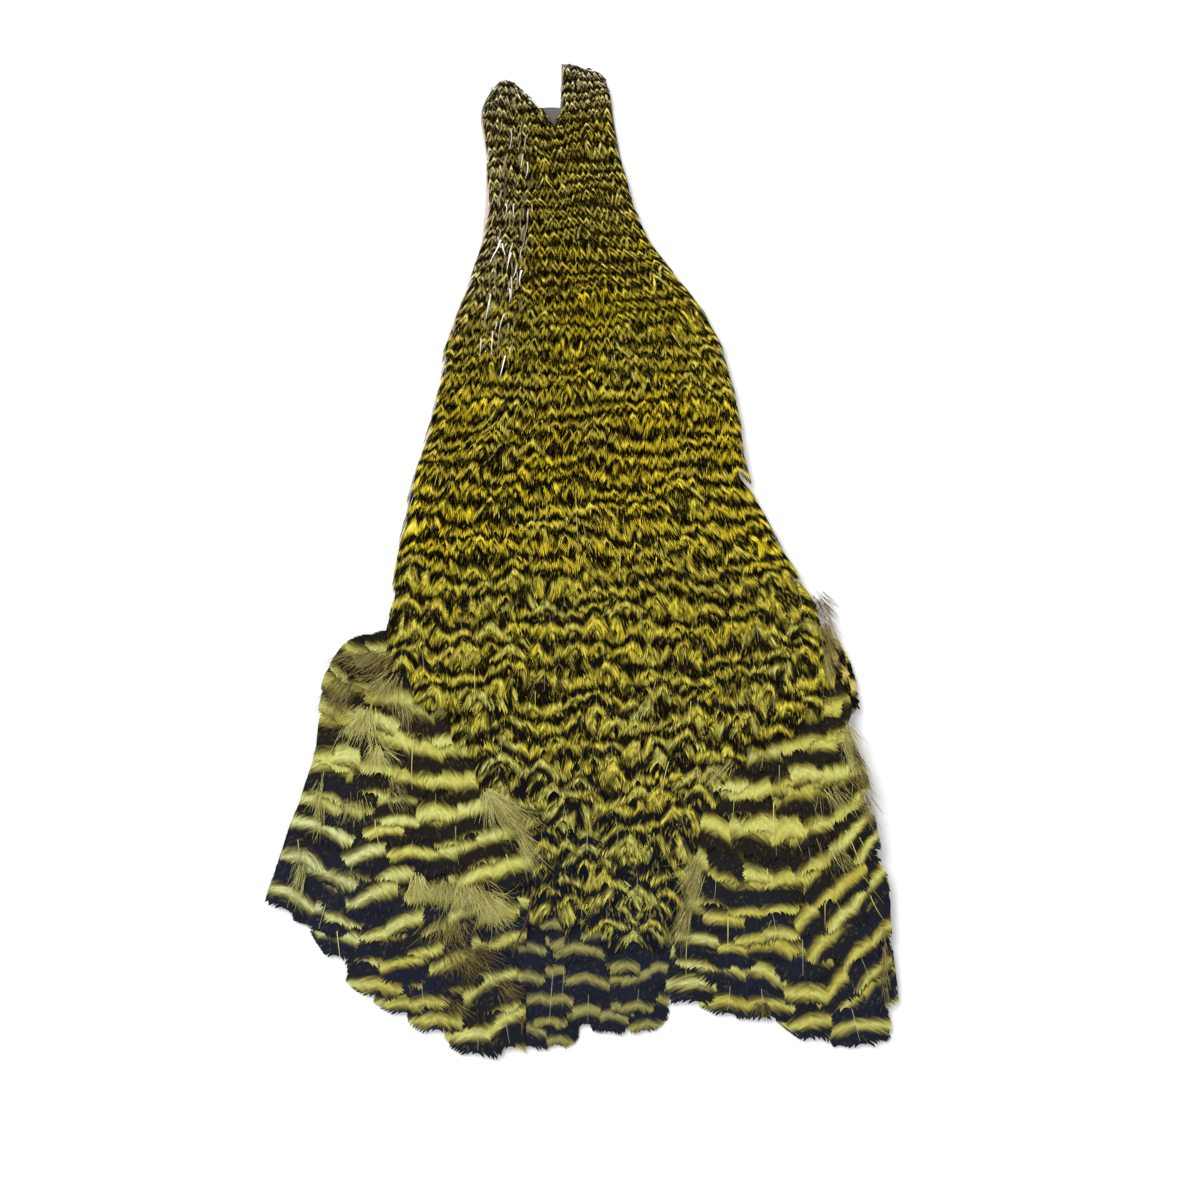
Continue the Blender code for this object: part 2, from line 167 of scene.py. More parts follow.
@dataclass
class Plumes:
    """Feathers about to grow, one entry each: root, heading, bend, length and half width, in mm and radians.

    The accent is 1 for a feather that lies on its neighbours and stands out from them, and 0 for others.
    """

    x: Array
    y: Array
    heading: Array
    bend: Array
    length: Array
    half_width: Array
    accent: Array

    @property
    def count(self) -> int:
        """How many feathers there are."""
        return len(self.x)

    def keep(self, wanted: Array) -> Plumes:
        """The feathers that are wanted."""
        return Plumes(*(getattr(self, name)[wanted] for name in self.__dataclass_fields__))

    def joined(self, others: Plumes) -> Plumes:
        """These feathers and others in one."""
        names = self.__dataclass_fields__
        return Plumes(*(np.concatenate([getattr(self, name), getattr(others, name)]) for name in names))

    def axis_at(self, along: float | Array) -> tuple[Array, Array]:
        """The place on each feather's shaft at a share of its length."""
        s = self.length * along
        side = 0.5 * self.bend * s * s
        x = self.x + s * np.sin(self.heading) + side * np.cos(self.heading)
        y = self.y - s * np.cos(self.heading) + side * np.sin(self.heading)
        return x, y

    def trimmed(self, allowed: Callable[[Array, Array], Array], shortest: float, step: float = 0.05) -> Plumes:
        """The feathers with their roots moved down the shaft to where the whole rest is allowed.

        Args:
            allowed: whether a shaft may lie at some places.
            shortest: the least length that a feather keeps, in mm.
            step: the share of a shaft from one place that is looked at to the next.

        Returns:
            The feathers that are left.
        """
        start = np.zeros(self.count)
        for along in np.arange(0.0, 0.96, step):
            start = np.where(allowed(*self.axis_at(along)), start, along + step)
        x, y = self.axis_at(start)
        heading = self.heading + self.bend * self.length * start
        length = self.length * (1 - start)
        moved = Plumes(x, y, heading, self.bend, length, self.half_width, self.accent)
        return moved.keep((start < 0.99) & (length > shortest))


def add_object(name: str, content: Any) -> bpy.types.Object:
    """An object with some content, linked to the scene."""
    made = bpy.data.objects.new(name, content)
    bpy.context.scene.collection.objects.link(made)
    return made


def store_numbers(mesh: bpy.types.Mesh, name: str, rows: Array) -> None:
    """Stores one or three numbers for each point of a mesh under a name."""
    kind, key = ("FLOAT_VECTOR", "vector") if rows.ndim > 1 else ("FLOAT", "value")
    made = mesh.attributes.new(name, kind, "POINT")
    made.data.foreach_set(key, rows.astype(np.float32).ravel())


class NodeMaker:
    """Adds nodes to a tree, sets their inputs and links them."""

    def __init__(self, tree: bpy.types.NodeTree) -> None:
        """Works on a tree."""
        self.tree = tree

    def give(self, target: bpy.types.NodeSocket, value: Any) -> None:
        """Links a socket to an input, or sets its value."""
        if isinstance(value, bpy.types.NodeSocket):
            self.tree.links.new(value, target)
        else:
            target.default_value = value

    def node(self, kind: str, inputs: dict[str | int, Any] | None = None, **settings: Any) -> bpy.types.Node:
        """Adds a node.

        Args:
            kind: the node's type.
            inputs: a socket to link or a value to set, by the input's name or number.
            settings: properties of the node.

        Returns:
            The node.
        """
        made = self.tree.nodes.new(kind)
        for name, value in settings.items():
            setattr(made, name, value)
        for key, value in (inputs or {}).items():
            self.give(made.inputs[key], value)
        return made

    def math(self, operation: str, first: Any, second: Any) -> bpy.types.NodeSocket:
        """The result of a sum on sockets or numbers."""
        return self.node("ShaderNodeMath", {0: first, 1: second}, operation=operation).outputs[0]

    def add(self, first: Any, second: Any) -> bpy.types.NodeSocket:
        """The first with the second added."""
        return self.math("ADD", first, second)

    def less(self, first: Any, second: Any) -> bpy.types.NodeSocket:
        """The first with the second taken off."""
        return self.math("SUBTRACT", first, second)

    def times(self, first: Any, *others: Any) -> bpy.types.NodeSocket:
        """The product of sockets and numbers, from the left."""
        for other in others:
            first = self.math("MULTIPLY", first, other)
        return first

    def vector(self, *parts: Any) -> bpy.types.NodeSocket:
        """A vector of up to three sockets or numbers."""
        return self.node("ShaderNodeCombineXYZ", dict(enumerate(parts))).outputs[0]

    def split(self, vector: Any) -> Any:
        """The three sockets of a vector."""
        return self.node("ShaderNodeSeparateXYZ", {0: vector}).outputs


class TreeMaker(NodeMaker):
    """Adds nodes to a Geometry Nodes tree."""

    def __init__(self, name: str) -> None:
        """Starts a tree with a geometry input and output."""
        super().__init__(bpy.data.node_groups.new(name, "GeometryNodeTree"))
        for way in ("INPUT", "OUTPUT"):
            self.tree.interface.new_socket("Geometry", in_out=way, socket_type="NodeSocketGeometry")
        self.start = self.tree.nodes.new("NodeGroupInput")
        self.end = self.tree.nodes.new("NodeGroupOutput")

    def size(self, name: str, kind: str) -> bpy.types.NodeSocket:
        """Adds a named input to the tree.

        Args:
            name: the input's name.
            kind: Float, Int or Material.

        Returns:
            The socket that gives its value inside the tree.
        """
        self.tree.interface.new_socket(name, in_out="INPUT", socket_type=f"NodeSocket{kind}")
        return self.start.outputs[name]

    def store(self, geometry: Any, **values: Any) -> bpy.types.NodeSocket:
        """Stores numbers on each point by name."""
        for name, value in values.items():
            inputs = {"Geometry": geometry, "Name": name, "Value": value}
            made = self.node("GeometryNodeStoreNamedAttribute", inputs, data_type="FLOAT", domain="POINT")
            geometry = made.outputs["Geometry"]
        return geometry

    def read(self, name: str, kind: str = "FLOAT") -> bpy.types.NodeSocket:
        """A stored attribute's value."""
        return self.node("GeometryNodeInputNamedAttribute", {"Name": name}, data_type=kind).outputs["Attribute"]

    def join(self, *parts: bpy.types.NodeSocket) -> bpy.types.NodeSocket:
        """One geometry of several."""
        made = self.node("GeometryNodeJoinGeometry")
        for part in parts:
            self.tree.links.new(part, made.inputs["Geometry"])
        return made.outputs["Geometry"]

    def strip(self, across: Any, along: Any) -> tuple[bpy.types.NodeSocket, Any]:
        """A flat strip of unit size.

        Args:
            across: how many points it has along X.
            along: how many points it has along Y.

        Returns:
            The geometry, and the three sockets of each point's place on it.
        """
        inputs = {"Size X": 1.0, "Size Y": 1.0, "Vertices X": across, "Vertices Y": along}
        place = self.node("GeometryNodeInputPosition").outputs[0]
        return self.node("GeometryNodeMeshGrid", inputs).outputs[0], self.split(place)

    def lay(self, geometry: Any, across: Any, along: Any) -> bpy.types.NodeSocket:
        """Stores each point's place in its feather and moves it there. The tip is towards -Y."""
        geometry = self.store(geometry, across=across, along=along)
        place = self.vector(self.read("across"), self.times(self.read("along"), -1.0))
        return self.node("GeometryNodeSetPosition", {"Geometry": geometry, "Position": place}).outputs[0]

    def put(self, points: Any, shape: Any, **settings: Any) -> bpy.types.NodeSocket:
        """Puts a shape on each point, with the turn and size that the settings give, and makes it real."""
        inputs = {"Points": points, "Instance": shape, **settings}
        made = self.node("GeometryNodeInstanceOnPoints", inputs).outputs[0]
        return self.node("GeometryNodeRealizeInstances", {"Geometry": made}).outputs[0]

    def grow(self, shape: Any, finish: Any) -> bpy.types.NodeTree:
        """Puts the feather on each root by its turn and size, gives it its material and ends the tree."""
        turn = self.node("FunctionNodeEulerToRotation", {0: self.read("turn", "FLOAT_VECTOR")}).outputs[0]
        size = self.read("size", "FLOAT_VECTOR")
        grown = self.put(self.start.outputs["Geometry"], shape, Rotation=turn, Scale=size)
        dressed = self.node("GeometryNodeSetMaterial", {"Geometry": grown, "Material": finish}).outputs[0]
        self.tree.links.new(dressed, self.end.inputs["Geometry"])
        return self.tree


@dataclass(frozen=True)
class FeatherKind:
    """The make of one kind of feather. Sizes are shares of its length or its half width.

    The outline is pairs of a share of the barbed stretch and the reach of the barbs that grow there.
    """

    name: str
    barbs: int
    steps: int
    sweep: float
    shaft: float
    bare: float
    shaft_width: float
    fill: float
    taper: float
    quill_start: float
    outline: tuple
    quill_taper: float = 0.75
    quill_points: int = 7
    early_reach: float = 0.3
    late_sweep: float = 1.4

    @property
    def tip(self) -> float:
        """The share of the length that the furthest part reaches, apart from a fringe of swept barbs."""
        return self.shaft + 0.6 * self.sweep * self.outline[-2][1]

    def sizes(self, finish: bpy.types.Material) -> dict[str, tuple[str, Any]]:
        """The kinds and values of the tree's inputs, by name."""
        return {
            "Barbs": ("Int", self.barbs),
            "Barb Steps": ("Int", self.steps + 1),
            "Sweep": ("Float", self.sweep),
            "Shaft": ("Float", self.shaft),
            "Bare Quill": ("Float", self.bare),
            "Shaft Width": ("Float", self.shaft_width),
            "Fill": ("Float", self.fill),
            "Barb Taper": ("Float", self.taper),
            "Quill Start": ("Float", self.quill_start),
            "Finish": ("Material", finish),
        }

    def tree(self, sizes: dict[str, tuple[str, Any]]) -> bpy.types.NodeTree:
        """The tree that grows such a feather on each point, barb by barb on both sides of a shaft."""
        maker = TreeMaker(f"{self.name} growth")
        inputs = {name: maker.size(name, kind) for name, (kind, _) in sizes.items()}
        shape = maker.join(self._vane(maker, inputs), self._quill(maker, inputs))
        return maker.grow(shape, inputs["Finish"])

    def _vane(self, maker: TreeMaker, inputs: dict[str, Any]) -> bpy.types.NodeSocket:
        """The barbs of both sides, each a strip that leaves the shaft and turns towards the tip.

        Args:
            maker: the tree's maker.
            inputs: the tree's inputs, by name.

        Returns:
            The geometry.
        """
        barbs, steps, sweep, shaft, bare, _, fill, narrowing, _, _ = inputs.values()
        line = maker.node("GeometryNodeMeshLine", {"Count": barbs}, mode="OFFSET").outputs[0]
        index = maker.node("GeometryNodeInputIndex").outputs[0]
        last = maker.less(barbs, 1.0)
        line = maker.store(line, barb=maker.math("DIVIDE", index, last))
        roots = maker.join(maker.store(line, side=1.0), maker.store(line, side=-1.0))
        strip, place = maker.strip(steps, 2)
        strips = maker.put(roots, maker.store(strip, reach=maker.add(place[0], 0.5), edge=place[1]))
        barb, side, reach, edge = (maker.read(name) for name in ("barb", "side", "reach", "edge"))
        curve = maker.node("ShaderNodeFloatCurve", {"Value": barb})
        self._draw_outline(curve)
        wide = curve.outputs[0]
        out = maker.times(reach, maker.less(1 + self.early_reach, maker.times(reach, self.early_reach)))
        across = maker.times(side, wide, out)
        root = maker.add(bare, maker.times(barb, maker.less(shaft, bare)))
        swept = maker.times(sweep, wide, maker.math("POWER", reach, self.late_sweep))
        pitch = maker.math("DIVIDE", maker.less(shaft, bare), last)
        taper = maker.less(1.0, maker.times(reach, narrowing))
        half = maker.times(maker.times(pitch, fill), maker.times(taper, edge))
        along = maker.less(maker.add(root, swept), maker.times(half, side))
        return maker.lay(maker.store(strips, shaft=0.0), across, along)

    def _quill(self, maker: TreeMaker, inputs: dict[str, Any]) -> bpy.types.NodeSocket:
        """The shaft, a strip that narrows towards its end.

        Args:
            maker: the tree's maker.
            inputs: the tree's inputs, by name.

        Returns:
            The geometry.
        """
        start, end = inputs["Quill Start"], inputs["Shaft"]
        strip, place = maker.strip(2, self.quill_points)
        part = maker.less(0.5, place[1])
        quill = maker.store(strip, barb=part, side=0.0, reach=0.0, edge=0.0, shaft=1.0)
        narrow = maker.less(1.0, maker.times(part, self.quill_taper))
        across = maker.times(place[0], inputs["Shaft Width"], narrow)
        return maker.lay(quill, across, maker.add(start, maker.times(part, maker.less(end, start))))

    def _draw_outline(self, node: bpy.types.Node) -> None:
        """Draws the outline in a curve node."""
        curve = node.mapping.curves[0]
        for point, (place, value) in zip(curve.points, (self.outline[0], self.outline[-1])):
            point.location = (place, value)
        for place, value in self.outline[1:-1]:
            curve.points.new(place, value)
        node.mapping.update()


@dataclass(frozen=True)
class StrandKind:
    """The make of loose strands: long thin strips that narrow to a point, for down, hairs and bare shafts."""

    name: str
    steps: int = 6
    taper: float = 0.75

    def sizes(self, finish: bpy.types.Material) -> dict[str, tuple[str, Any]]:
        """The kinds and values of the tree's inputs, by name."""
        steps, taper = ("Int", self.steps + 1), ("Float", self.taper)
        return {"Steps": steps, "Taper": taper, "Finish": ("Material", finish)}

    def tree(self, sizes: dict[str, tuple[str, Any]]) -> bpy.types.NodeTree:
        """The tree that grows a strand on each point."""
        maker = TreeMaker(f"{self.name} growth")
        steps, taper, finish = (maker.size(name, kind) for name, (kind, _) in sizes.items())
        strip, place = maker.strip(2, steps)
        run = maker.less(0.5, place[1])
        narrow = maker.less(1.0, maker.times(run, taper))
        return maker.grow(maker.lay(strip, maker.times(place[0], narrow), run), finish)


class GrownMesh:
    """The mesh that a growth tree makes on some plumes, with its numbers as arrays."""

    def __init__(self, name: str, plumes: Plumes, kind: Any, finish: bpy.types.Material) -> None:
        """Grows feathers or strands of a kind as straight, flat ones at their roots."""
        self.name = name
        self.plumes = plumes
        self.kind = kind
        self.mesh = self._grow(self._points(), kind, finish)
        self.index = np.rint(self.read("feather")).astype(int)
        self.across = self.read("across")
        self.along = self.read("along")
        self.places = self._read_places()

    def read(self, name: str) -> Array:
        """The values of one of the mesh's number attributes."""
        values = np.zeros(len(self.mesh.vertices), np.float32)
        self.mesh.attributes[name].data.foreach_get("value", values)
        return values.astype(float)

    def write(self, name: str, *values: Array) -> None:
        """Stores three numbers a point under a name, for the materials."""
        rows = np.stack([np.broadcast_to(value, self.index.shape) for value in values], axis=1)
        store_numbers(self.mesh, name, rows)

    def of(self, values: Array) -> Array:
        """A number of each feather, for each point of the mesh."""
        return values[self.index]

    @property
    def offside(self) -> Array:
        """How far each point is from its feather's shaft, in mm."""
        return np.abs(self.across) * self.of(self.plumes.half_width)

    def bend(self) -> None:
        """Bends each feather sideways along its length, as its plume says."""
        run = self.along * self.of(self.plumes.length)
        side = 0.5 * self.of(self.plumes.bend) * run * run
        heading = self.of(self.plumes.heading)
        self.places[:, 0] += side * np.cos(heading)
        self.places[:, 1] += side * np.sin(heading)

    def shift(self, along: Array, across: Array) -> None:
        """Moves points towards their feather's tip and to its right, in mm."""
        heading = self.of(self.plumes.heading)
        self.places[:, 0] += along * np.sin(heading) + across * np.cos(heading)
        self.places[:, 1] += across * np.sin(heading) - along * np.cos(heading)

    def done(self) -> bpy.types.Object:
        """Writes the places and the OFBake map, drops what only the tree needed, and links the object."""
        self.mesh.vertices.foreach_set("co", (self.places * MM).astype(np.float32).ravel())
        self._write_map()
        for name in [a.name for a in self.mesh.attributes]:
            if name in ("turn", "size", "barb", "side", "reach", "edge", "shaft", "feather", "across", "along"):
                self.mesh.attributes.remove(self.mesh.attributes[name])
        self.mesh.update()
        return add_object(self.name, self.mesh)

    def _points(self) -> bpy.types.Object:
        """An object with a point at each root, and each feather's turn and size on it."""
        plumes, count = self.plumes, self.plumes.count
        mesh = bpy.data.meshes.new(f"{self.name} roots")
        mesh.vertices.add(count)
        roots = np.stack([plumes.x, plumes.y, np.zeros(count)], axis=1) * MM
        mesh.vertices.foreach_set("co", roots.astype(np.float32).ravel())
        turns = np.stack([np.zeros(count), np.zeros(count), plumes.heading], axis=1)
        sizes = np.stack([plumes.half_width * MM, plumes.length * MM, np.ones(count)], axis=1)
        for name, rows in (("turn", turns), ("size", sizes), ("feather", np.arange(count))):
            store_numbers(mesh, name, rows)
        return add_object(f"{self.name} roots", mesh)

    @staticmethod
    def _grow(holder: bpy.types.Object, kind: Any, finish: bpy.types.Material) -> bpy.types.Mesh:
        """Grows the feathers on the holder's points and takes the holder away.

        Args:
            holder: the object with the points.
            kind: the feathers' or strands' make.
            finish: the feathers' material.

        Returns:
            The feathers' plain mesh, with the finish as its only material.
        """
        sizes = kind.sizes(finish)
        modifier = holder.modifiers.new("growth", "NODES")
        modifier.node_group = kind.tree(sizes)
        for item in modifier.node_group.interface.items_tree:
            if item.in_out == "INPUT" and item.name in sizes:
                modifier[item.identifier] = sizes[item.name][1]
        graph = bpy.context.evaluated_depsgraph_get()
        mesh = bpy.data.meshes.new_from_object(holder.evaluated_get(graph), depsgraph=graph)
        mesh.materials.clear()
        mesh.materials.append(finish)
        roots = holder.data
        bpy.data.objects.remove(holder)
        bpy.data.meshes.remove(roots)
        return mesh

    def _read_places(self) -> Array:
        """The mesh's points, in mm."""
        places = np.zeros(len(self.mesh.vertices) * 3, np.float32)
        self.mesh.vertices.foreach_get("co", places)
        return places.reshape(-1, 3).astype(float) / MM

    def _write_map(self) -> None:
        """Gives each feather a cell of its own in the OFBake map."""
        columns = max(1, math.ceil(math.sqrt(self.plumes.count)))
        inside_x = np.clip(0.5 + MAP_ACROSS * self.across, MAP_RIM, 1 - MAP_RIM)
        inside_y = np.clip(2 * MAP_RIM + MAP_ALONG * self.along, MAP_RIM, 1 - MAP_RIM)
        u = (self.index % columns + inside_x) / columns
        v = (self.index // columns + inside_y) / columns
        corners = np.zeros(len(self.mesh.loops), np.int32)
        self.mesh.loops.foreach_get("vertex_index", corners)
        layer = self.mesh.uv_layers.new(name="OFBake")
        rows = np.stack([u[corners], v[corners]], axis=1)
        layer.uv.foreach_set("vector", rows.astype(np.float32).ravel())


class ShaderMaker(NodeMaker):
    """Adds nodes to a material."""

    def __init__(self, name: str, roughness: float, specular: float) -> None:
        """Starts a material with its even gloss set on the shader itself."""
        self.material = bpy.data.materials.new(name)
        self.material.use_nodes = True
        super().__init__(self.material.node_tree)
        self.shader = self.tree.nodes["Principled BSDF"]
        self.shader.inputs["Roughness"].default_value = roughness
        self.shader.inputs["Specular IOR Level"].default_value = specular

    def parts(self, name: str) -> tuple[bpy.types.NodeSocket, ...]:
        """The three numbers of a stored attribute."""
        made = self.node("ShaderNodeAttribute", attribute_name=name, attribute_type="GEOMETRY")
        return tuple(self.split(made.outputs["Vector"]))

    def noise(self, place: Any, scale: float, detail: float = 1.0) -> bpy.types.NodeSocket:
        """Soft noise over a vector."""
        return self.node("ShaderNodeTexNoise", {"Vector": place, "Scale": scale, "Detail": detail}).outputs[0]

    def spread(self, value: Any, low: float, high: float, first: float = 0.0, last: float = 1.0) -> Any:
        """A value's way from low to high as an even turn from first to last."""
        made = self.node(
            "ShaderNodeMapRange",
            {"Value": value, "From Min": low, "From Max": high, "To Min": first, "To Max": last},
            interpolation_type="SMOOTHSTEP",
        )
        return made.outputs[0]

    def mix(self, share: Any, first: Any, second: Any, blend: str = "MIX") -> bpy.types.NodeSocket:
        """A mix of two colours. In a Mix node for colours, 0 is the share, 6 and 7 are the colours."""
        made = self.node("ShaderNodeMix", {0: share}, data_type="RGBA", blend_type=blend)
        for key, value in ((6, first), (7, second)):
            self.give(made.inputs[key], (*value, 1.0) if isinstance(value, tuple) else value)
        return made.outputs[2]

    def toned(self, colour: Any, tone: Any) -> bpy.types.NodeSocket:
        """A colour made darker or lighter by a tone."""
        return self.mix(1.0, colour, self.vector(tone, tone, tone), "MULTIPLY")

    def colour(self, socket: bpy.types.NodeSocket) -> None:
        """Links the base colour."""
        self.tree.links.new(socket, self.shader.inputs["Base Color"])

    def bump(self, height: Any, strength: float, distance: float) -> None:
        """Links a bump."""
        made = self.node("ShaderNodeBump", {"Height": height, "Strength": strength, "Distance": distance})
        self.tree.links.new(made.outputs[0], self.shader.inputs["Normal"])


@dataclass(frozen=True)
class BarredFinish:
    """Barred plumage: dark and olive yellow bars, streaked along the barbs with their own tones, with painted
    shade in the gaps between barbs and painted glints on the dark ones.

    It reads three stored vectors. "plume" is the bar's phase, the place on the shaft that the barb grows
    from in mm and the reach along the barb. "dye" is how pale, how blue and how grey the feather is there.
    "trim" is the shaft's paleness, the down's share and a number of the feather's own.
    """

    name: str
    gold: Colour = (0.78, 0.61, 0.026)
    pale: Colour = (0.54, 0.545, 0.16)
    grey: Colour = (0.62, 0.55, 0.32)
    brown_black: Colour = (0.0035, 0.002, 0.001)
    blue_black: Colour = (0.0045, 0.006, 0.013)
    down: Colour = (0.20, 0.16, 0.08)
    down_shade: Colour = (0.02, 0.016, 0.01)
    shaft: Colour = (0.62, 0.60, 0.36)
    roughness: float = 0.6
    specular: float = 0.04
    softness: float = 0.2
    dark_share: float = 0.64
    blue_growth: float = 0.06
    raggedness: float = 0.6
    streakiness: float = 0.6
    streak_scale: float = 1.9
    streak_length: float = 0.9
    thread_scale: float = 2.7
    bump_strength: float = 0.35
    bump_distance: float = 0.0003

    def material(self) -> bpy.types.Material:
        """Builds the material."""
        make = ShaderMaker(self.name, self.roughness, self.specular)
        phase, strand, reach = make.parts("plume")
        paleness, blueness, greyness = make.parts("dye")
        shaft, down, own = make.parts("trim")
        place = make.vector(strand, make.times(reach, self.streak_length), own)
        streak = make.noise(place, self.streak_scale, 2.0)
        fine = make.noise(place, self.streak_scale * self.thread_scale)
        ragged = make.times(make.less(streak, 0.5), self.raggedness)
        swing = make.math("PINGPONG", make.add(phase, ragged), 0.5)
        swing = make.less(swing, make.times(blueness, self.blue_growth))
        bar = make.spread(swing, (self.dark_share - self.softness) / 2, (self.dark_share + self.softness) / 2)
        # Streak tone: each barb's own tone, with painted shade in the gaps between separated barbs.
        shade = make.spread(fine, 0.25, 0.75, 1 - self.streakiness, 1 + 0.5 * self.streakiness)
        # Light streaks in the dark bars: partly light barbs, partly a painted glint on the dark barbs.
        strand_and_glint = make.times(make.spread(fine, 0.55, 0.8), 0.45 * self.streakiness)
        light = make.mix(greyness, make.mix(paleness, self.gold, self.pale), self.grey)
        light = make.toned(make.mix(bar, self.gold, light), shade)
        dark = make.mix(strand_and_glint, make.mix(blueness, self.brown_black, self.blue_black), light)
        plumage = make.mix(down, make.mix(bar, dark, light), make.mix(shade, self.down_shade, self.down))
        make.colour(make.mix(shaft, plumage, self.shaft))
        make.bump(fine, self.bump_strength, self.bump_distance)
        return make.material


@dataclass(frozen=True)
class StrandFinish:
    """Plain strands, such as down or bare shafts, each of its own shade between a dark and a light one."""

    name: str
    dark: Colour
    middle: Colour
    light: Colour
    roughness: float = 0.6
    specular: float = 0.12
    mottle_and_highlight_scale: float = 1.7
    mottle_and_highlight_spread: float = 30.0
    shades: tuple[float, float] = (0.35, 1.3)

    def material(self) -> bpy.types.Material:
        """Builds the material. It reads "strand": the tone, a number of its own and the run across."""
        make = ShaderMaker(self.name, self.roughness, self.specular)
        tone, own, across = make.parts("strand")
        colour = make.mix(make.spread(tone, 0.5, 1.0), self.middle, self.light)
        colour = make.mix(make.spread(tone, 0.0, 0.5), self.dark, colour)
        # Mottle along each strand: partly its own tone, partly painted highlights and painted shade between
        # strands.
        mottle_and_highlight = make.noise(make.vector(tone, across, make.times(own, self.mottle_and_highlight_spread)), self.mottle_and_highlight_scale)
        make.colour(make.toned(colour, make.spread(mottle_and_highlight, 0.3, 0.7, *self.shades)))
        return make.material


@dataclass(frozen=True)
class HideFinish:
    """Tanned skin: mottled, finely creased and dotted with the roots of the feathers."""

    name: str
    light: Colour
    dark: Colour
    blush: Colour = (0.55, 0.45, 0.40)
    cloud_scale: float = 70.0
    crease_scale: float = 420.0
    dot_scale: float = 520.0
    dot_edge: tuple[float, float] = (0.12, 0.3)
    roughness: float = 0.78
    specular: float = 0.25
    bump_strength: float = 0.6
    bump_distance: float = 0.0006

    def material(self) -> bpy.types.Material:
        """Builds the material on object coordinates."""
        make = ShaderMaker(self.name, self.roughness, self.specular)
        place = make.node("ShaderNodeTexCoord").outputs["Object"]
        cloud = make.noise(place, self.cloud_scale, 6.0)
        crease = make.noise(place, self.crease_scale, 5.0)
        dots = make.node("ShaderNodeTexVoronoi", {"Vector": place, "Scale": self.dot_scale}).outputs["Distance"]
        dot = make.spread(dots, *self.dot_edge)
        colour = make.mix(make.spread(cloud, 0.3, 0.7), self.dark, self.light)
        colour = make.mix(make.less(1.0, dot), colour, self.dark)
        tint = make.node("ShaderNodeAttribute", attribute_name="tint", attribute_type="GEOMETRY").outputs["Fac"]
        make.colour(make.mix(tint, colour, self.blush))
        make.bump(make.add(crease, make.times(dot, 0.5)), self.bump_strength, self.bump_distance)
        return make.material


class Slot(Enum):
    """The record's material slots."""

    HACKLES = "hackle_coat"
    LEFT = "left_shoulder"
    RIGHT = "right_shoulder"
    HEM = "hem"


def settle(piece: bpy.types.Object, nodes: tuple[str, ...]) -> bpy.types.Object:
    """Ties a finished piece to the frame and reports it.

    Args:
        piece: the piece.
        nodes: the CAD nodes that it stands for.

    Returns:
        The piece.
    """
    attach(piece, BODY)
    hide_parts(*nodes)
    LOG.info("%s: %d faces", piece.name, len(piece.data.polygons))
    return piece


def nodes_named(start: str) -> tuple[str, ...]:
    """The CAD nodes whose names start so."""
    return tuple(sorted(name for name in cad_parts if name.startswith(start)))


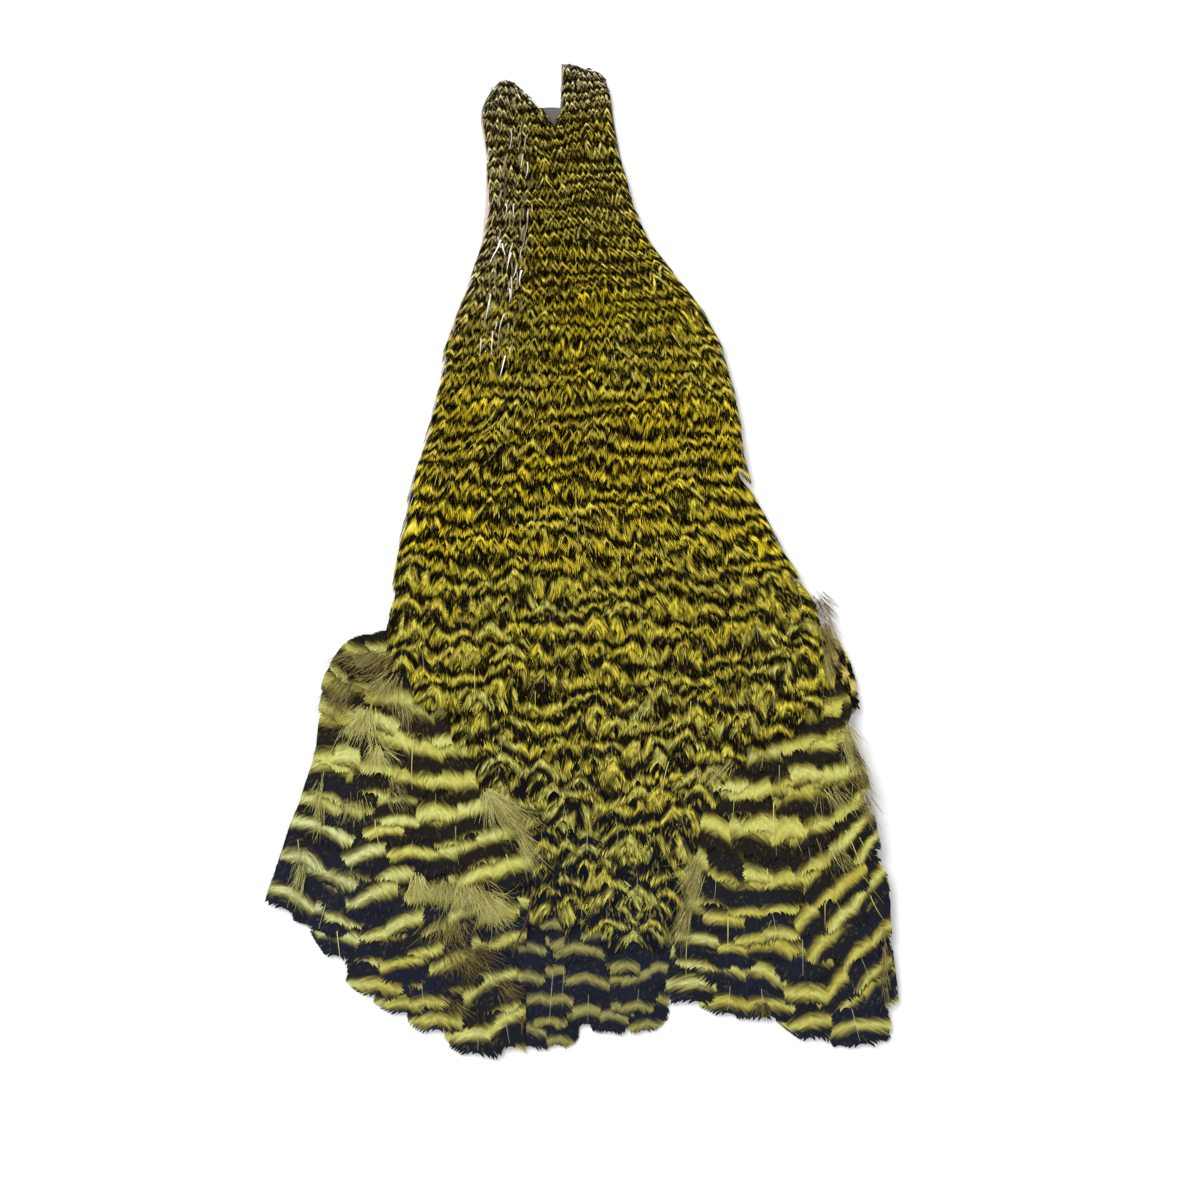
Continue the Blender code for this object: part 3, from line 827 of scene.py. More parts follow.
@dataclass(frozen=True)
class Dressing:
    """How feathers that have grown lie and are marked, whatever surface they lie on."""

    seed: int
    camber: float = 0.25
    slat: float = 0.08
    rank: float = 0.12
    clump: float = 0.4
    raggedness: float = 0.1
    barb_jitter: float = 0.06
    shafts: float = 1.0
    shaft_paleness: float = 0.3
    accent_lift: float = 0.15
    shaft_lift: float = 0.08
    clump_size: float = 0.12
    clump_pull: float = 0.3
    waves: tuple[float, float] = (9, 14)
    overtone: float = 2.3
    strand_pitch: float = 1.6
    down_end: tuple[float, float] = (0.2, 0.4)

    def barb_numbers(self, grown: GrownMesh, seed: int) -> Array:
        """A number from 0 to 1 for each barb."""
        barbs = grown.kind.barbs
        table = np.random.default_rng(self.seed + seed).random((grown.plumes.count, 3, barbs))
        side = np.rint(grown.read("side")).astype(int) + 1
        barb = np.rint(grown.read("barb") * (barbs - 1)).astype(int)
        return table[grown.index, side, np.clip(barb, 0, barbs - 1)]

    def feather_numbers(self, grown: GrownMesh, seed: int) -> Array:
        """A number from 0 to 1 for each feather, at each of its points."""
        return grown.of(np.random.default_rng(self.seed + seed).random(grown.plumes.count))

    def tousle(self, grown: GrownMesh) -> None:
        """Draws the barbs of each side into a few clumps, frays their ends and bends the feather."""
        barb, reach, side = grown.read("barb"), grown.read("reach"), grown.read("side")
        rate = self.waves[0] + self.waves[1] * self.feather_numbers(grown, 1)
        start = 6.28 * self.feather_numbers(grown, 2) + side
        wave = np.sin(rate * barb + start) + 0.6 * np.sin(self.overtone * rate * barb + 2 * start)
        half = grown.of(grown.plumes.half_width)
        size = half * self.clump_size * self.clump
        fray = self.raggedness * (2 * self.barb_numbers(grown, 8) - 1) * reach
        inwards = -np.abs(wave) * side * size * self.clump_pull * reach**2
        grown.shift(wave * size * reach**2 + fray * half, inwards + fray * grown.across * half)
        grown.bend()

    def lift(self, grown: GrownMesh, surface: Array, floor: float, rise: float) -> None:
        """Raises the feathers from the floor at their roots to the surface at their tips.

        Args:
            grown: the feathers.
            surface: the height of the surface at each point, in mm.
            floor: the height that the roots leave from.
            rise: how early a feather comes up.
        """
        run = np.clip(grown.along, 0.0, 1.0)
        share = 1 - (1 - run) ** rise
        height = floor + (surface - floor) * share
        height += self.rank * (self.feather_numbers(grown, 3) - 0.5) * run
        height += self.accent_lift * grown.of(grown.plumes.accent) * run
        height -= self.camber * grown.across**2
        loose, reach = self.barb_numbers(grown, 4) - 0.5, grown.read("reach")
        height += self.slat * (grown.read("edge") * 2 * (0.4 + reach) + loose * reach)
        height += self.shaft_lift * grown.read("shaft") * run
        grown.places[:, 2] = np.clip(height, LOWEST, HIGHEST)

    def mark(self, grown: GrownMesh, phase: Array, dye: tuple[Array, Array, Array]) -> None:
        """Stores what the barred finish reads.

        Args:
            grown: the feathers.
            phase: the bars' phase at each point.
            dye: how pale the feather is there, how blue its dark bars are and how grey its light bars are.
        """
        feather, barb = self.feather_numbers(grown, 5), self.barb_numbers(grown, 6)
        reach = grown.read("reach")
        bars = phase + self.barb_jitter * (2 * barb - 1) * (0.3 + 0.7 * reach)
        strand = grown.read("barb") * grown.of(grown.plumes.length) * self.strand_pitch
        strand = strand + 23 * feather + grown.read("side") * 5
        grown.write("plume", bars, strand + barb, reach)
        grown.write("dye", *(np.clip(share, 0, 1) for share in dye))
        downy = 1 - ease(*self.down_end, grown.along)
        shown = self.feather_numbers(grown, 9) < self.shafts
        grown.write("trim", grown.read("shaft") * shown * self.shaft_paleness, downy, feather)


def plant(tip: tuple[Array, Array], heading: tuple[Array, Array], length: Array, half_width: Array,
          accent: Array | float = 0.0, end_share: float = 0.95) -> Plumes:
    """Feathers by the places of their tips, bent evenly from the heading at the root to that at the tip.

    Args:
        tip: the tips' places across and along.
        heading: the headings at the tips and at the roots.
        length: the feathers' lengths.
        half_width: the feathers' half widths.
        accent: which feathers stand out.
        end_share: the share of the length that the tip is seen at.

    Returns:
        The feathers.
    """
    run = length * end_share
    bend = (heading[0] - heading[1]) / run
    side = 0.5 * bend * run * run
    x = tip[0] - run * np.sin(heading[1]) - side * np.cos(heading[1])
    y = tip[1] + run * np.cos(heading[1]) - side * np.sin(heading[1])
    return Plumes(x, y, heading[1], bend, length, half_width, accent * np.ones(len(x)))


HACKLE = FeatherKind(
    name="hackle",
    barbs=17,
    steps=2,
    sweep=0.38,
    shaft=0.8,
    bare=0.3,
    shaft_width=0.07,
    fill=1.6,
    taper=0.4,
    quill_start=0.4,
    outline=((0.0, 0.5), (0.25, 0.9), (0.5, 1.0), (0.78, 0.78), (0.93, 0.5), (1.0, 0.28)),
)
SADDLE = replace(HACKLE, name="saddle hackle", barbs=20, sweep=0.27, fill=2.1, taper=0.3)
VANE = FeatherKind(
    name="shoulder feather",
    barbs=46,
    steps=3,
    sweep=0.12,
    shaft=0.93,
    bare=0.3,
    shaft_width=0.035,
    fill=2.0,
    taper=0.25,
    quill_start=0.4,
    outline=((0.0, 0.55), (0.2, 0.85), (0.5, 1.0), (0.72, 0.97), (0.85, 0.82), (0.94, 0.56), (1.0, 0.18)),
)
STRAND = StrandKind(name="strand")


@dataclass
class HackleCoat:
    """The small feathers of the neck, back and middle, in rows from the neck end to the hem."""

    form: CapeForm
    finishes: tuple[bpy.types.Material, ...]
    kinds: tuple[FeatherKind, ...] = (HACKLE, HACKLE, SADDLE)
    tousles: tuple = ((0.4, 0.1), (0.4, 0.1), (0.3, 0.06))
    seed: int = 11
    first_tip: float = 97.0
    last_tip: float = -84.0
    pitch: float = 0.54
    crown_rows: int = 5
    crown_count: int = 20
    crown_step: float = 1.3
    crown_drop: float = 0.6
    shortest: float = 1.0
    root_depth: float = 0.15
    rise: float = 1.3
    drift: tuple[float, float] = (0.32, 0.1)
    widths: tuple = (
        (98, 1.7), (80, 1.9), (60, 2.6), (40, 3.6), (10, 4.9), (-20, 6.2), (-45, 7.6), (-60, 8.8), (-90, 9.6),
    )
    lengths: tuple = (
        (99, 3), (95, 4.5), (88, 7), (75, 9.5), (60, 12.5), (40, 15.5), (20, 18), (-20, 22), (-60, 27),
    )
    steps: tuple = ((99, 1.4), (80, 1.7), (60, 2.1), (20, 3.0), (-20, 4.0), (-60, 5.0), (-90, 5.4))
    periods: tuple = (
        (99, 2.1), (83, 2.4), (60, 2.6), (33, 3.1), (10, 3.6), (-3, 4.2), (-30, 4.8), (-60, 5.2), (-100, 5.6),
    )
    chevrons: tuple = ((99, 1.9), (70, 1.7), (50, 1.3), (20, 0.9), (-30, 0.7), (-80, 0.8))
    jitters: tuple = ((99, 0.12), (75, 0.05), (60, 0.04), (20, 0.07), (-20, 0.09), (-60, 0.16))
    accents: tuple = ((99, 0.05), (60, 0.05), (0, 0.06), (-25, 0.14), (-45, 0.25), (-60, 0.25))
    palenesses: tuple = (
        (99, 0.35), (70, 0.15), (40, 0.05), (0, 0.05), (-25, 0.15), (-45, 0.35), (-90, 0.6),
    )
    neck_end: tuple = (
        (0.0, 91.0), (0.02, 92.8), (0.07, 95.2), (0.12, 96.3), (0.17, 96.9), (0.22, 96.5), (0.28, 95.2),
        (0.33, 93.9), (0.38, 92.4), (0.42, 91.3), (0.60, 91.3), (0.625, 96.0), (0.645, 100.2), (0.80, 99.4),
        (0.95, 98.2), (0.985, 97.0), (1.0, 93.5),
    )
    notch: tuple[float, float, float] = (-6.6, 87.3, 0.72)
    notch_side: float = 2.7
    past_skin: float = 0.45
    past_end: float = 3.5
    tuck: tuple = ((2.0, 0.65), (-8.0, 0.15))
    cuts: tuple[float, float] = (52.0, -2.0)

    def build(self) -> list[bpy.types.Object]:
        """Grows the coat as three pieces, from the neck down."""
        plumes = self._plumes()
        _, tip = plumes.axis_at(1.0)
        high, low = self.cuts
        parts = {
            "neck_hackles": tip >= high,
            "back_hackles": (tip < high) & (tip >= low),
            "saddle_hackles": tip < low,
        }
        return [self._grow(name, plumes.keep(part), turn) for turn, (name, part) in enumerate(parts.items())]

    def phase_at(self, y: Array) -> Array:
        """The bars' phase: how many bars lie between the neck end and a place."""
        line = np.linspace(110.0, -110.0, 881)
        count = np.cumsum(0.25 / read_table(self.periods, line))
        return np.interp(-y, -line, count)

    def allowed(self, x: Array, y: Array) -> Array:
        """Where a hackle's shaft may lie: on the skin and clear of the notch."""
        share = self.form.share_at(x, y)
        middle, tip, slope = self.notch
        clear = np.abs(x - middle) > np.minimum((y - tip) * slope, self.notch_side) - self.past_skin
        within = (x > self.form.x_at(0.0, y) - self.past_skin) & (x < self.form.x_at(1.0, y) + self.past_skin)
        return (y < read_table(self.neck_end, share) + self.past_skin) & within & clear

    def _tips(self, pick: np.random.Generator) -> tuple[Array, Array]:
        """The places of every hackle's tip: short rows along the neck end, then rows across."""
        shares, tips = [], []
        count = self.crown_count
        for row in range(self.crown_rows):
            share = (np.arange(count) + 0.25 + 0.5 * (row % 2)) / count
            shares.append(share + pick.normal(0, 0.01, count))
            below = self.crown_drop + self.crown_step * row
            tips.append(read_table(self.neck_end, share) - below + pick.normal(0, 0.3, count))
        y, row = self.first_tip, 0
        while y > self.last_tip:
            width, step = float(read_table(self.widths, y)), float(read_table(self.steps, y))
            span = float(self.form.width_at(np.array(y)))
            count = max(4, round(span / (self.pitch * width)))
            margin = 0.3 * width / span
            even = (np.arange(count) + 0.5 + (0.25 if row % 2 else -0.25)) / count
            share = margin + (1 - 2 * margin) * np.clip(even + pick.normal(0, 0.16 / count, count), 0, 1)
            shares.append(share)
            tips.append(y + pick.normal(0, 0.24 * step, count))
            y -= step
            row += 1
        y = np.concatenate(tips)
        return self.form.x_at(np.concatenate(shares), y), y

    def _plumes(self) -> Plumes:
        """Every hackle of the coat."""
        pick = np.random.default_rng(self.seed)
        x, y = self._tips(pick)
        inside = y > self.form.end_at(x) - self.past_end
        x, y = x[inside], y[inside]
        accent = (pick.random(len(x)) < read_table(self.accents, y)).astype(float)
        length = read_table(self.lengths, y) * pick.uniform(0.9, 1.12, len(x))
        half = 0.5 * read_table(self.widths, y) * pick.uniform(0.85, 1.15, len(x)) * (1 + 0.3 * accent)
        tip_heading = self.form.heading_at(x, y) + np.radians(pick.normal(0, 5.0, len(x)))
        root_x, root_y = x - length * np.sin(tip_heading), y + length * np.cos(tip_heading)
        root_heading = 0.5 * (tip_heading + self.form.heading_at(root_x, root_y))
        plumes = plant((x, y), (tip_heading, root_heading), length, half, accent, HACKLE.tip)
        return plumes.trimmed(self.allowed, self.shortest)

    def _grow(self, name: str, plumes: Plumes, turn: int) -> bpy.types.Object:
        """Grows one piece of the coat.

        Args:
            name: the piece's name.
            plumes: its feathers.
            turn: its place in the order.

        Returns:
            The piece.
        """
        clump, raggedness = self.tousles[turn]
        dressing = Dressing(seed=self.seed * 100 + turn * 10, clump=clump, raggedness=raggedness)
        grown = GrownMesh(name, plumes, self.kinds[turn], self.finishes[turn])
        dressing.tousle(grown)
        x, y = grown.places[:, 0], grown.places[:, 1]
        share = self.form.share_at(x, y)
        tuck = read_table(self.tuck, y)
        x = grown.places[:, 0] = self.form.x_at(share - tuck * (share - np.clip(share, 0, 1)), y)
        dressing.lift(grown, self.form.height_at(x, y), self.form.skin - self.root_depth, self.rise)
        own = 2 * dressing.feather_numbers(grown, 10) - 1
        accent = grown.of(plumes.accent)
        phase = self.phase_at(y) + self.drift[0] * Wobble(14.0, 5).at(x, y)
        phase = phase + self.drift[1] * Wobble(5.0, 6).at(x, y)
        phase += own * (read_table(self.jitters, y) + 0.4 * accent)
        phase -= read_table(self.chevrons, y) * grown.offside / read_table(self.periods, y)
        tone = 0.3 * dressing.feather_numbers(grown, 7) - 0.12
        pale = self._paleness(x, y) + tone + 0.35 * accent
        dressing.mark(grown, phase, (pale, ease(-25.0, -80.0, y), self._greyness(x, y)))
        return settle(grown.done(), ("hide",))

    def _paleness(self, x: Array, y: Array) -> Array:
        """How pale the coat is: least on the back, more towards the neck end and the hem."""
        return read_table(self.palenesses, y) + 0.15 * Wobble(22.0, 8).at(x, y)

    def _greyness(self, x: Array, y: Array) -> Array:
        """How grey the coat is: the flaps and the left edge of the neck are."""
        flap = ease(86.0, 97.0, y)
        left = ease(0.35, 0.0, self.form.share_at(x, y)) * ease(30.0, 60.0, y)
        return np.clip(0.8 * flap + 0.6 * left, 0, 1)


@dataclass
class FeatherFan:
    """A patch of large feathers whose shafts fan out of one point, in rows from the coat's end to the rim.

    The lean is an angle beyond which the feathers turn further, and by how much. Above the shelf the feathers
    lie only under the coat. The rim's feathers are barred by themselves, from a dark tip on.
    """

    name: str
    slot: Slot
    nodes: str
    finish: bpy.types.Material
    form: CapeForm
    apex: tuple[float, float]
    reach: tuple
    spans: tuple
    length: float
    widths: tuple
    surface: tuple
    period: float
    seed: int
    shelf: float = -200.0
    row_step: float = 0.06
    first_row: float = 0.46
    pitch: float = 0.56
    pale: float = 0.9
    blue: float = 0.9
    start_phase: float = 0.0
    chevron: float = 0.2
    jitter: float = 0.19
    own_rows: int = 1
    tuck: float = 0.8
    lean: tuple[float, float] = (90.0, 0.0)
    columns: tuple = ((0.0, 0.0, 0.0),)
    edges: tuple = ((0.0, -90.0, 90.0),)
    paler_side: tuple[float, float, float] = (0.0, -90.0, 1.0)
    corner: tuple = ()

    def build(self) -> bpy.types.Object:
        """Grows the patch as one piece."""
        dressing = Dressing(seed=self.seed * 100, camber=0.3, slat=0.03, rank=0.3, clump=0.2, raggedness=0.06,
                            barb_jitter=0.04, shafts=0.25, shaft_paleness=0.6)
        plumes = self._plumes()
        grown = GrownMesh(self.name, plumes, VANE, self.finish)
        dressing.tousle(grown)
        self._tuck_in(grown)
        x, y = grown.places[:, 0], grown.places[:, 1]
        away, angle, share = self._polar(x, y)
        dressing.lift(grown, read_table(self.surface, share), 0.35, 1.0)
        tip_angle = self._polar(*plumes.axis_at(VANE.tip))[1]
        column = np.maximum(np.searchsorted([row[0] for row in self.columns], tip_angle, "right") - 1, 0)
        start, offset, slope = (grown.of(np.array([row[k] for row in self.columns])[column]) for k in range(3))
        tilt = (offset + slope * (angle - start)) * ease(0.5, 0.75, share)
        together = away / self.period + self.start_phase + tilt + 0.16 * Wobble(26.0, self.seed).at(x, y)
        alone = 0.1 - (VANE.tip - grown.along) * grown.of(plumes.length) / self.period
        phase = np.where(grown.of(plumes.accent) > 0.5, alone, together)
        own = 2 * dressing.feather_numbers(grown, 10) - 1
        phase = phase + self.jitter * own - self.chevron * grown.offside / self.period
        pale = self.pale + 0.15 * Wobble(18.0, self.seed + 1).at(x, y) + 0.25 * own
        blue = (self.blue + 0.35 * Wobble(20.0, self.seed + 2).at(x, y)) * ease(0.55, 0.9, share)
        # Light bars turn paler and greener past an angle and towards the rim: how much, that angle, and the
        # span it fades over.
        most, side, spread = self.paler_side
        paling = most * ease(side + spread, side, angle) * ease(0.6, 0.85, share) + 0.2 * own * most
        dressing.mark(grown, phase, (pale, blue, paling))
        return settle(grown.done(), nodes_named(self.nodes))

    def height_at(self, x: Array, y: Array) -> Array:
        """The height of the patch's surface."""
        return read_table(self.surface, self._polar(x, y)[2])

    def _tuck_in(self, grown: GrownMesh) -> None:
        """Draws the barbs that reach past the patch's outline back along it."""
        away, angle, share = self._polar(grown.places[:, 0], grown.places[:, 1])
        low, high = read_table(self.edges, share, 1), read_table(self.edges, share, 2)
        inner = np.radians(angle - self.tuck * (angle - np.clip(angle, low, high)))
        away -= self.tuck * np.maximum(share - 1, 0) * away / share
        grown.places[:, 0] = self.apex[0] + away * np.sin(inner)
        grown.places[:, 1] = self.apex[1] - away * np.cos(inner)

    def _allowed(self, x: Array, y: Array) -> Array:
        """Where a shaft may lie: below the shelf, or under the coat."""
        share = self.form.share_at(x, y)
        return (y < self.shelf) | ((share > 0.02) & (share < 0.98))

    def _polar(self, x: Array, y: Array) -> tuple[Array, Array, Array]:
        """The distance of some places from the apex, their angle and their share of the patch's reach."""
        across, down = x - self.apex[0], self.apex[1] - y
        away = np.hypot(across, down)
        angle = np.degrees(np.arctan2(across, down))
        return away, angle, away / read_table(self.reach, angle)

    def _plumes(self) -> Plumes:
        """Every feather of the patch."""
        pick = np.random.default_rng(self.seed)
        rows = []
        for row, share in enumerate(np.arange(1.0, self.first_row, -self.row_step)):
            low, high = float(read_table(self.spans, share, 1)), float(read_table(self.spans, share, 2))
            middle = float(read_table(self.reach, (low + high) / 2)) * share
            width = float(read_table(self.widths, share))
            room = math.degrees(0.5 * width / middle)
            low, high = low + room, high - room
            count = max(2, round(math.radians(high - low) * middle / (self.pitch * width)))
            even = (np.arange(count) + (0.5 if row % 2 else 0.0)) / (count - 0.5)
            angle = low + (high - low) * np.clip(even + pick.normal(0, 0.12 / count, count), 0, 1)
            slack = 0.008 if row == 0 else 0.018
            at = np.minimum(share * (1 + pick.normal(0, slack, count)), 0.99)
            alone = np.full(count, float(row < self.own_rows))
            rows.append(np.stack([angle, at, np.full(count, width), alone], axis=1))
        angle, share, width, rim = np.concatenate(rows).T
        reach = read_table(self.reach, angle)
        spoke = np.radians(angle)
        tip = self.apex[0] + share * reach * np.sin(spoke), self.apex[1] - share * reach * np.cos(spoke)
        length = self.length * reach * pick.uniform(0.94, 1.06, len(angle))
        half = 0.5 * width * pick.uniform(0.9, 1.1, len(angle))
        beyond = np.maximum(0.0, angle - self.lean[0])
        turned = spoke + np.radians(self.lean[1] * beyond + pick.normal(0, 3.0, len(angle)))
        swing = np.radians(pick.normal(0, 3.0, len(angle)))
        plumes = plant(tip, (turned + swing, turned - swing), length, half, rim, VANE.tip)
        plumes = plumes.trimmed(self._allowed, 7.0)
        return plumes.joined(self._corner_plumes()) if self.corner else plumes

    def _corner_plumes(self) -> Plumes:
        """The feathers at the patch's upper corner, which point further out than the fan."""
        across, down, heading, length, width = np.array(self.corner, float).T
        turned = np.radians(heading)
        return plant(from_pixel(across, down), (turned, turned), length, width / 2, 0.0, VANE.tip)


@dataclass
class EdgeFeather:
    """The one small feather that pokes out at the right edge, above the right patch."""

    finish: bpy.types.Material
    tip: tuple[float, float] = from_pixel(846, 711)
    heading: float = 6.0
    length: float = 19.0
    width: float = 5.4
    height: float = 2.2
    period: float = 6.4

    def build(self) -> bpy.types.Object:
        """Grows the feather and a fringe of two more under it."""
        shift = np.array([0.0, -1.6, -3.0])
        tip = self.tip[0] + shift, self.tip[1] + np.array([0.0, 2.6, 5.6])
        heading = np.radians(self.heading + np.array([0.0, -3.0, 4.0]))
        length = self.length * np.array([1.0, 0.95, 0.9])
        half_width = 0.5 * self.width * np.array([1.0, 0.9, 0.9])
        plumes = plant(tip, (heading + 0.05, heading - 0.05), length, half_width)
        dressing = Dressing(seed=900, camber=0.2, slat=0.04, clump=0.4, raggedness=0.12, shafts=0.0)
        grown = GrownMesh("edge_feathers", plumes, VANE, self.finish)
        dressing.tousle(grown)
        surface = np.full(len(grown.index), self.height)
        dressing.lift(grown, surface, 0.6, 1.0)
        phase = 0.42 - (1 - grown.along) * grown.of(plumes.length) / self.period
        even = np.ones(len(phase))
        dressing.mark(grown, phase, (0.35 * even, 0.0 * even, 0.1 * even))
        return settle(grown.done(), ("right_edge_feather",))


@dataclass(frozen=True)
class Tuft:
    """A tuft of down: a spray of strands around a place.

    Places and spreads are pixels of the photograph, lengths and widths mm, angles degrees. The fan is how
    much further out the strands point at the sides, and the tone is 0 for brown and 1 for the palest.
    """

    at: tuple[float, float]
    spread: tuple[float, float]
    heading: float
    count: int
    fan: float = 25.0
    length: float = 5.0
    tone: float = 0.6
    curl: float = 0.08
    width: float = 0.1
    mess: float = 9.0

    def plumes(self, seed: int) -> Plumes:
        """The tuft's strands."""
        pick = np.random.default_rng(seed)
        wide, tall = pick.normal(0, 0.45, self.count).clip(-1, 1), pick.normal(0, 0.45, self.count).clip(-1, 1)
        x, y = from_pixel(self.at[0] + wide * self.spread[0], self.at[1] + tall * self.spread[1])
        middle = math.radians(self.heading)
        side = wide * math.cos(middle) - tall * math.sin(middle)
        heading = middle + np.radians(self.fan * side + pick.normal(0, self.mess, self.count))
        bend = self.curl * pick.normal(0, 1, self.count)
        length = self.length * pick.uniform(0.55, 1.2, self.count)
        half = self.width * pick.uniform(0.6, 1.2, self.count)
        return Plumes(x, y, heading, bend, length, half, np.zeros(self.count))


@dataclass
class Strands:
    """Loose strands laid over the plumage as one piece: down, pale shafts and single hairs."""

    name: str
    finish: bpy.types.Material
    slot: Slot
    nodes: tuple[str, ...]
    lay: Callable[[Array, Array], Array]
    base: float = 0.25
    proud: float = 0.3
    parts: list[tuple[Plumes, Array]] = field(default_factory=list)

    def add_tufts(self, tufts: tuple[Tuft, ...], seed: int) -> Strands:
        """Adds tufts of down."""
        for number, tuft in enumerate(tufts):
            plumes = tuft.plumes(seed + number)
            tones = np.random.default_rng(seed + 500 + number).normal(tuft.tone, 0.18, plumes.count)
            self.parts.append((plumes, np.clip(tones, 0, 1)))
        return self

    def add_lines(self, lines: tuple[tuple[float, ...], ...], width: float, tone: float) -> Strands:
        """Adds single strands.

        Args:
            lines: the pixels that each starts and ends at, how far it bows to the side in pixels and, if
                it isn't as pale as the others, by how much.
            width: their width in mm.
            tone: their tone.

        Returns:
            The strands.
        """
        rows = np.array(lines, float)
        x, y = from_pixel(rows[:, 0], rows[:, 1])
        end_x, end_y = from_pixel(rows[:, 2], rows[:, 3])
        length = np.hypot(end_x - x, end_y - y)
        bow = rows[:, 4] * MM_PER_PIXEL
        bend = 8 * bow / length**2
        heading = np.arctan2(end_x - x, y - end_y) - 0.5 * bend * length
        wide = width * np.random.default_rng(len(rows)).uniform(0.7, 1.3, len(rows))
        tones = tone - rows[:, 5] if rows.shape[1] > 5 else np.full(len(rows), tone)
        self.parts.append((Plumes(x, y, heading, bend, length, wide, np.zeros(len(rows))), tones))
        return self

    def build(self) -> bpy.types.Object:
        """Grows the strands."""
        fields = Plumes.__dataclass_fields__
        every = Plumes(*(np.concatenate([getattr(p, f) for p, _ in self.parts]) for f in fields))
        tones = np.concatenate([tones for _, tones in self.parts])
        grown = GrownMesh(self.name, every, STRAND, self.finish)
        grown.bend()
        x, y = grown.places[:, 0], grown.places[:, 1]
        pick = np.random.default_rng(77)
        rise = np.sin(np.pi * np.clip(grown.along, 0, 1) * 0.8) * grown.of(pick.uniform(0.3, 1.3, every.count))
        grown.places[:, 2] = np.clip(self.lay(x, y) + self.base + self.proud * rise, LOWEST, HIGHEST)
        own = pick.random(every.count)
        grown.write("strand", grown.of(tones) + 0.2 * (grown.along - 0.5), grown.of(own), grown.across)
        return settle(grown.done(), self.nodes)


LEFT_TUFTS = (
    Tuft((376, 655), (32, 8), -55, 187, fan=20, length=4.6, tone=0.45, curl=0.05),
    Tuft((346, 690), (12, 22), -38, 153, fan=15, length=4.6, tone=0.4, curl=0.05),
    Tuft((388, 680), (22, 14), -35, 136, fan=40, length=4.2, tone=0.62),
    Tuft((367, 718), (16, 16), -15, 153, fan=40, length=4.2, tone=0.95, width=0.125),
    Tuft((380, 748), (10, 10), 10, 102, fan=45, length=4.0, tone=0.95, width=0.125),
    Tuft((405, 705), (16, 10), 15, 51, fan=30, length=4.0, tone=0.55),
    Tuft((352, 800), (20, 12), -10, 44, fan=25, length=3.6, tone=0.75, width=0.078),
    Tuft((395, 785), (10, 16), 25, 44, fan=20, length=4.4, tone=0.7, width=0.078),
    Tuft((489, 790), (6, 6), 26, 119, fan=30, length=6.0, tone=0.95, width=0.117, curl=0.02),
    Tuft((500, 800), (10, 8), 40, 153, fan=20, length=8.5, tone=0.75, curl=0.02, width=0.086),
    Tuft((522, 835), (8, 12), 35, 85, fan=15, length=7.5, tone=0.85, curl=0.02, width=0.07),
    Tuft((419, 878), (6, 8), 4, 153, fan=22, length=4.6, tone=1.0, width=0.125),
    Tuft((445, 882), (12, 8), 0, 119, fan=30, length=4.2, tone=0.75),
    Tuft((470, 888), (24, 12), 10, 289, fan=45, length=4.6, tone=0.82, curl=0.16),
    Tuft((490, 900), (14, 12), 38, 221, fan=30, length=4.8, tone=0.92, curl=0.16),
    Tuft((450, 922), (24, 10), 0, 119, fan=30, length=4.0, tone=0.5, curl=0.12),
    Tuft((466, 952), (28, 14), 35, 187, fan=35, length=4.4, tone=0.3, curl=0.12),
    Tuft((505, 985), (10, 8), 50, 61, fan=20, length=3.8, tone=0.35),
    Tuft((455, 1003), (14, 8), 40, 51, fan=20, length=3.8, tone=0.35),
    Tuft((322, 800), (5, 30), -12, 61, fan=8, length=4.0, tone=0.85, curl=0.02),
    Tuft((302, 870), (6, 24), -16, 51, fan=8, length=4.0, tone=0.9, curl=0.02),
)
LEFT_LINES = (
    (415, 738, 414, 788, 1), (365, 788, 373, 812, 0), (377, 818, 382, 844, 1), (457, 824, 460, 862, 1),
    (490, 818, 500, 838, 0), (507, 852, 516, 874, 0), (338, 930, 341, 958, 0), (300, 838, 302, 862, 0),
    (357, 857, 352, 876, 1),
)
RIGHT_TUFTS = (
    Tuft((736, 710), (6, 7), -30, 119, fan=20, length=4.0, tone=1.0, width=0.125),
    Tuft((754, 714), (10, 6), -42, 136, fan=20, length=4.6, tone=0.95, width=0.109),
    Tuft((748, 734), (20, 8), -50, 136, fan=15, length=5.4, tone=0.7, curl=0.03, width=0.086),
    Tuft((724, 760), (10, 12), -45, 61, fan=15, length=4.8, tone=0.8, curl=0.03, width=0.086),
    Tuft((696, 868), (7, 22), -22, 136, fan=10, length=6.0, tone=0.8, curl=0.03, width=0.086),
    Tuft((685, 912), (6, 18), -16, 68, fan=10, length=6.0, tone=0.75, curl=0.03, width=0.086),
    Tuft((827, 640), (6, 20), 18, 102, fan=14, length=4.0, tone=0.5, curl=0.05),
    Tuft((824, 662), (6, 16), 12, 68, fan=12, length=4.6, tone=0.65, curl=0.05),
    Tuft((800, 696), (10, 8), 20, 58, fan=35, length=4.0, tone=0.8),
    Tuft((845, 738), (6, 22), 22, 102, fan=10, length=4.8, tone=0.75, curl=0.03),
    Tuft((856, 768), (6, 20), 26, 85, fan=10, length=4.4, tone=0.5, curl=0.03),
    Tuft((832, 790), (20, 14), 26, 61, fan=20, length=4.8, tone=0.75, curl=0.03, width=0.078),
    Tuft((864, 800), (6, 16), 28, 61, fan=10, length=4.2, tone=0.5, curl=0.03),
    Tuft((832, 845), (24, 16), 24, 51, fan=10, length=5.0, tone=0.8, curl=0.02, width=0.078),
    Tuft((762, 1003), (9, 5), 5, 60, fan=25, length=3.2, tone=0.25, curl=0.05),
    Tuft((882, 950), (4, 36), 4, 61, fan=5, length=4.4, tone=0.6, curl=0.02),
)
